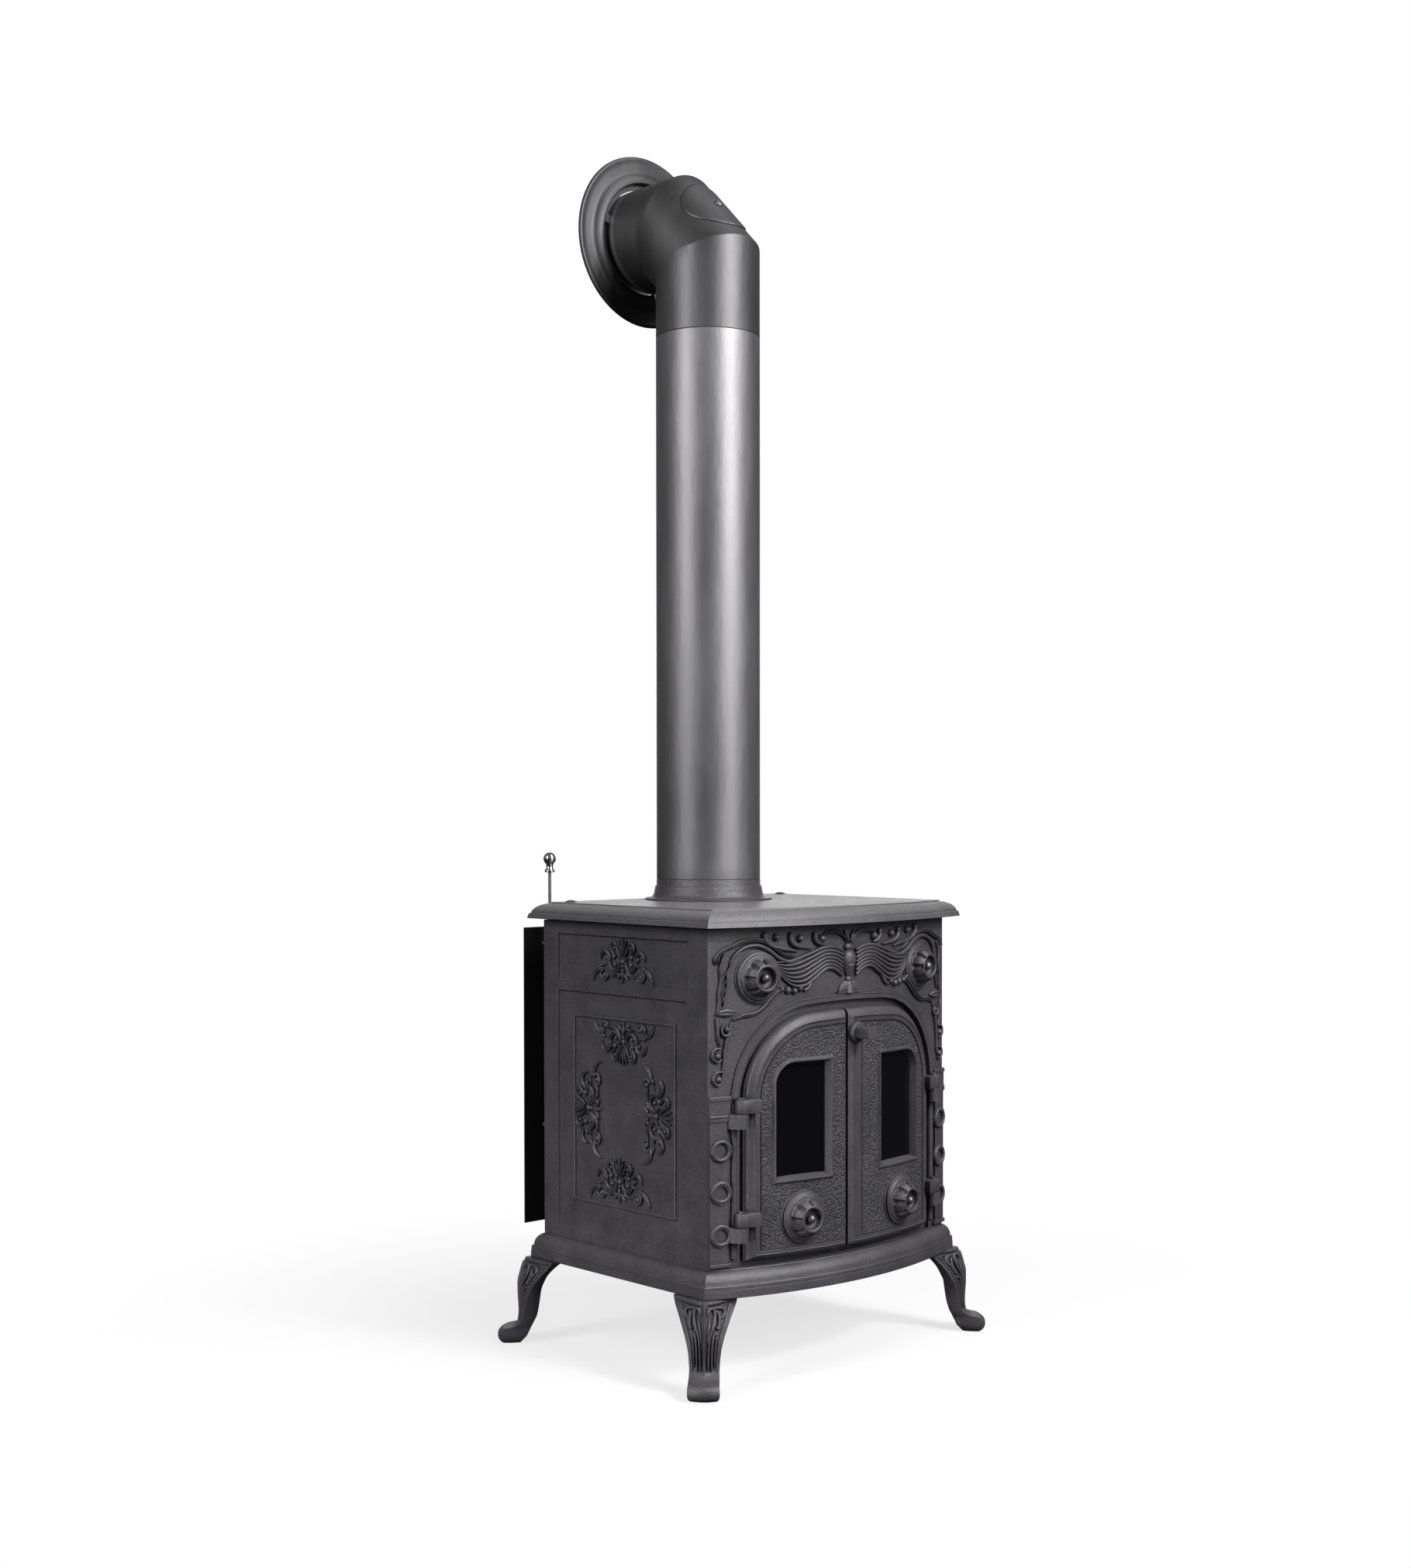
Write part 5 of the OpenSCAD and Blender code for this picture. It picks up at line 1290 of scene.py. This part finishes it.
def elbow():
    # Three legs that meet at two mitres of 22.5 degrees: the outer wall up, and the bore back down
    look = flueLook
    lowMitre, highMitre = np.array([0, look["y"], look["mitreZ"]]), np.array([0, look["mitreY"],
                                                                              look["outletZ"]])
    n1 = np.array([0, math.sin(math.radians(22.5)), math.cos(math.radians(22.5))])
    n2 = np.array([0, math.cos(math.radians(22.5)), math.sin(math.radians(22.5))])
    start = np.array([0, look["y"], look["high"] + 0.6])
    end = np.array([0, look["endY"], look["outletZ"]])

    def rings(radius):
        a = mitredLeg(start, (0, 0, 1), (start, (0, 0, 1)), (lowMitre, n1), radius)
        b = mitredLeg(lowMitre, (0, 1, 1), (lowMitre, n1), (highMitre, n2), radius)
        c = mitredLeg(highMitre, (0, 1, 0), (highMitre, n2), (end, (0, 1, 0)), radius)
        return [a[0], a[1], b[1], c[1]]

    outer, inner = rings(look["radius"]), rings(look["bore"])
    fine = []
    for p, q, steps in zip(outer[:-1], outer[1:], (7, 25, 7)):
        fine += [p * (1 - f) + q * f for f in np.linspace(0, 1, steps)[:-1]]
    fine.append(outer[-1])
    return torus(np.stack(fine + inner[::-1]))


hatchMid = np.array([0, (flueLook["y"] + flueLook["mitreY"]) / 2,
                     (flueLook["mitreZ"] + flueLook["outletZ"]) / 2])
hatchAxis, hatchOut = np.array([0, 1, 1]) / math.sqrt(2), np.array([0, -1, 1]) / math.sqrt(2)


def atHatch(u, v, h):
    # From across, along and out of the slanting leg to the room
    return hatchMid + u[..., None] * np.array([1.0, 0, 0]) + v[..., None] * hatchAxis + h[...,
                                                                                          None] * hatchOut


def hatchPart():
    # A saddle plate on the elbow's slanting leg: its outline a circle seen square on
    r = np.array([0.01, 8, 16, 24, 32, 40, 46, 50, 51.4, 52, 52.0, 50, 20, 0.01])
    lift = np.array([2.0, 2.0, 2.0, 2.0, 2.0, 2.0, 2.0, 1.95, 1.7, 1.2, 0.35, 0.35, 0.35, 0.35])
    a = np.linspace(0, 2 * math.pi, 96, endpoint=False)
    x, s = r[:, None] * np.cos(a), r[:, None] * np.sin(a)
    rad = flueLook["radius"] + lift[:, None] + 0 * a
    return loft(atHatch(x, s, rad * np.cos(np.arcsin(np.clip(x / rad, -1, 1)))))


piece = putPiece("flueCollar", collar(), castIron, "stove", 30)
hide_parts("flue_collar")
piece = putPiece("fluePipe", pipeWall(flueLook["low"] + 0.2, flueLook["high"]), pipeEnamel, "stove",
                 30)
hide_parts("flue_pipe")
hatchHole = turned([(0, 30), (46, 30), (46, 100), (0, 100)], hatchMid, hatchOut, 96)
piece = putPiece("flueElbow", elbow(), elbowEnamelShaded, "stove", 18, cutter=hatchHole)
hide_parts("elbow_riser", "elbow_slant", "elbow_outlet")
bridge = [boxOn(atHatch, -69.8, 69.8, -7.9, 7.9, 20.1, 23.9, 0.6),
          turned([(3.3, 19.4), (6.4, 19.4), (6.4, 25.6), (3.3, 25.6)], hatchMid, hatchOut, 6)]
putPiece("hatchBridge", bridge, elbowEnamelShaded, "stove", 30)
piece = putPiece("elbowHatch", hatchPart(), elbowEnamelShaded, "elbow_hatch", 35)
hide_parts("elbow_hatch")
screw = turned([(0, -62.6), (2.2, -62.6), (2.9, -61.6), (2.9, 0), (6.2, 0.0), (6.6, 0.6), (6.4, 2.0),
                (5.4, 3.0), (3.0, 3.5), (0, 3.6)],
               hatchMid + hatchOut * 77.2, hatchOut, 40)
piece = putPiece("hatchScrew", screw, dullSteel, "elbow_hatch", 40)
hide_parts("hatch_screw")


def rosette():
    # The wall plate: a flat rim, a low swell and an inner neck that stands towards the pipe
    prof = [(76.2, 0.3), (85.4, 0.2), (88, 7.4), (96, 6.2), (99, 2.4), (108, 1.6), (116.5, 1.0), (119, 0.1),
            (124.4, 0.0),
            (125, 0.8), (124.8, 2.6), (123.6, 3.8), (121.6, 4.3), (119.4, 4.2), (117.4, 3.6), (112, 4.0),
            (105, 4.6), (100.6, 5.4), (98.6, 6.8), (96.4, 8.4), (92, 10.4), (88.4, 11.5), (85.8, 11.4),
            (84.4, 10.2),
            (84.2, 1.2), (76.2, 1.1)]
    return turned(prof, (0, flueLook["wallY"], flueLook["outletZ"]), (0, -1, 0), flueLook["segments"])


piece = putPiece("wallRosette", rosette(), rosetteEnamelShaded, "stove", 30)
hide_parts("wall_rosette")
print("flue")


# ---- air rod ----

rodLook = {"x": -198.0, "y": 197.0, "ballZ": 682.0, "ball": 9.0}
knobProfile = [(0, 662.6), (5.4, 662.6), (7.2, 663.4), (7.5, 664.6), (7.2, 665.8), (5.6, 667.0),
               (4.9, 669.0), (4.8, 671.8),
               (5.2, 673.4)]
knobProfile += [(rodLook["ball"] * math.sin(a), rodLook["ballZ"] - rodLook["ball"] * math.cos(a))
                for a in np.linspace(0.66, math.pi, 18)]
knobProfile[-1] = (0, rodLook["ballZ"] + rodLook["ball"])
piece = putPiece("rodKnob", turned(knobProfile, (rodLook["x"], rodLook["y"], 0), (0, 0, 1), 48), nickel,
                 "air_control", 45)
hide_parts("rod_knob")
print("rod")


# ---- stage, camera and light ----

worldLook = {"diffuse": 0.09, "glossy": 0.16, "floor": 0.03}
floorLook = {"half": 40.0, "colour": (0.82, 0.82, 0.82), "rough": 0.9, "shadowFrom": 0.35, "shadowTo": 1.1,
             "whiteShare": 0.72}


def makeStage():
    # A floor that is white to the camera but for the stove's shadow, and dim to what the stove mirrors
    look = floorLook
    mesh = bpy.data.meshes.new("floor")
    s = look["half"]
    mesh.from_pydata([(-s, -s, 0), (s, -s, 0), (s, s, 0), (-s, s, 0)], [], [(0, 1, 2, 3)])
    floor = bpy.data.objects.new("floor", mesh)
    bpy.context.scene.collection.objects.link(floor)
    m, tree, bsdf = newMaterial("paleFloor", look["colour"], look["rough"])
    out = tree.nodes["Material Output"]
    seen = addNode(tree, "ShaderNodeLightPath").outputs["Is Camera Ray"]
    white = addNode(tree, "ShaderNodeEmission", {"Color": (1, 1, 1, 1), "Strength": 1.0})
    dusk = addNode(tree, "ShaderNodeEmission", {"Color": (1, 1, 1, 1), "Strength": worldLook["floor"]})
    # Near the stove the floor shows its shadow, and further out it turns plain white
    coords = objectCoords(tree)
    distance = addNode(tree, "ShaderNodeVectorMath", {0: coords}, operation="LENGTH").outputs["Value"]
    share = mapRange(tree, distance, look["shadowFrom"], look["shadowTo"], look["whiteShare"], 1.0,
                     interpolation_type="SMOOTHSTEP")
    mix = addNode(tree, "ShaderNodeMixShader", {0: share, 1: bsdf.outputs[0], 2: white.outputs[0]})
    mix = addNode(tree, "ShaderNodeMixShader", {0: seen, 1: dusk.outputs[0], 2: mix.outputs[0]})
    tree.links.new(mix.outputs[0], out.inputs["Surface"])
    floor.data.materials.append(m)


def makeWorld():
    # White to the camera, dim to the stove: what it mirrors is the lamps and a dusky room
    world = bpy.data.worlds.new("studio")
    bpy.context.scene.world = world
    world.use_nodes = True
    tree = world.node_tree
    background = tree.nodes["Background"]
    path = addNode(tree, "ShaderNodeLightPath")
    level = mapRange(tree, path.outputs["Is Glossy Ray"], 0.0, 1.0, worldLook["diffuse"],
                     worldLook["glossy"])
    level = addNode(tree, "ShaderNodeMath", {0: path.outputs["Is Camera Ray"], 1: level},
                    operation="MAXIMUM").outputs[0]
    background.inputs["Color"].default_value = (1, 1, 1, 1)
    tree.links.new(level, background.inputs["Strength"])


def softLight(name, place, target, size, power, spread=math.pi):
    # A rectangular lamp at place, turned to face target and hidden from the camera
    data = bpy.data.lights.new(name, "AREA")
    data.shape = "RECTANGLE"
    data.size, data.size_y = size
    data.energy = power
    data.spread = spread
    lamp = bpy.data.objects.new(name, data)
    bpy.context.scene.collection.objects.link(lamp)
    d = np.asarray(target, float) - place
    lamp.location = place
    flat = math.hypot(d[0], d[1])
    lamp.rotation_euler = (math.atan2(flat, -d[2]), 0, math.atan2(d[1], d[0]) - math.pi / 2)
    lamp.visible_camera = False


# Place, target, width and height in metres, watts, and for one lamp how wide its beam spreads
lights = {"front": ((0.32, -3.0, 2.2), (0.0, 0.0, 0.9), (1.4, 1.7), 100.0),
          "frontLow": ((0.45, -3.0, 0.8), (0.0, 0.0, 0.4), (0.9, 0.8), 8.0),
          "core": ((0.5, -2.9, 2.6), (0.0, 0.0, 0.6), (0.4, 0.4), 62.0),
          "left": ((-3.0, 0.15, 1.95), (0.0, 0.0, 0.85), (1.0, 1.9), 60.0),
          "leftCore": ((-2.95, 0.15, 2.3), (0.0, 0.0, 0.4), (0.4, 0.4), 13.0),
          "leftLow": ((-3.1, -0.3, 0.22), (0.0, -0.12, 0.1), (1.2, 0.4), 1.0, 0.36),
          "above": ((0.8, -1.3, 3.6), (0.0, 0.0, 0.5), (1.5, 1.5), 46.0),
          "behind": ((2.3, 2.5, 1.0), (0.0, 0.0, 0.6), (2.2, 1.0), 13.0)}
cameraLook = {"place": (-2.0067, -2.0944 - frameShift / 1000, 0.7469), "yaw": 42.66295, "pitch": -1.2823,
              "roll": 0.06,
              "focal": 2627.12, "principal": (910.0, 1107.24), "frame": (1820, 2022)}


def makeCamera():
    # The photo's camera: focal length and middle are in pixels of its frame
    look = cameraLook
    data = bpy.data.cameras.new("camera")
    width, height = look["frame"]
    data.sensor_width = 36.0
    data.lens = look["focal"] / height * 36.0
    data.shift_x = (width / 2 - look["principal"][0]) / height
    data.shift_y = (look["principal"][1] - height / 2) / height
    data.clip_end = 100
    cam = bpy.data.objects.new("camera", data)
    bpy.context.scene.collection.objects.link(cam)
    cam.location = look["place"]
    cam.rotation_euler = (math.radians(90 + look["pitch"]), math.radians(look["roll"]),
                          math.radians(-look["yaw"]))
    bpy.context.scene.camera = cam


makeStage()
makeWorld()
for name, setting in lights.items():
    softLight(name, *setting)
makeCamera()
bpy.context.scene.view_settings.view_transform = "Standard"
print("stage")
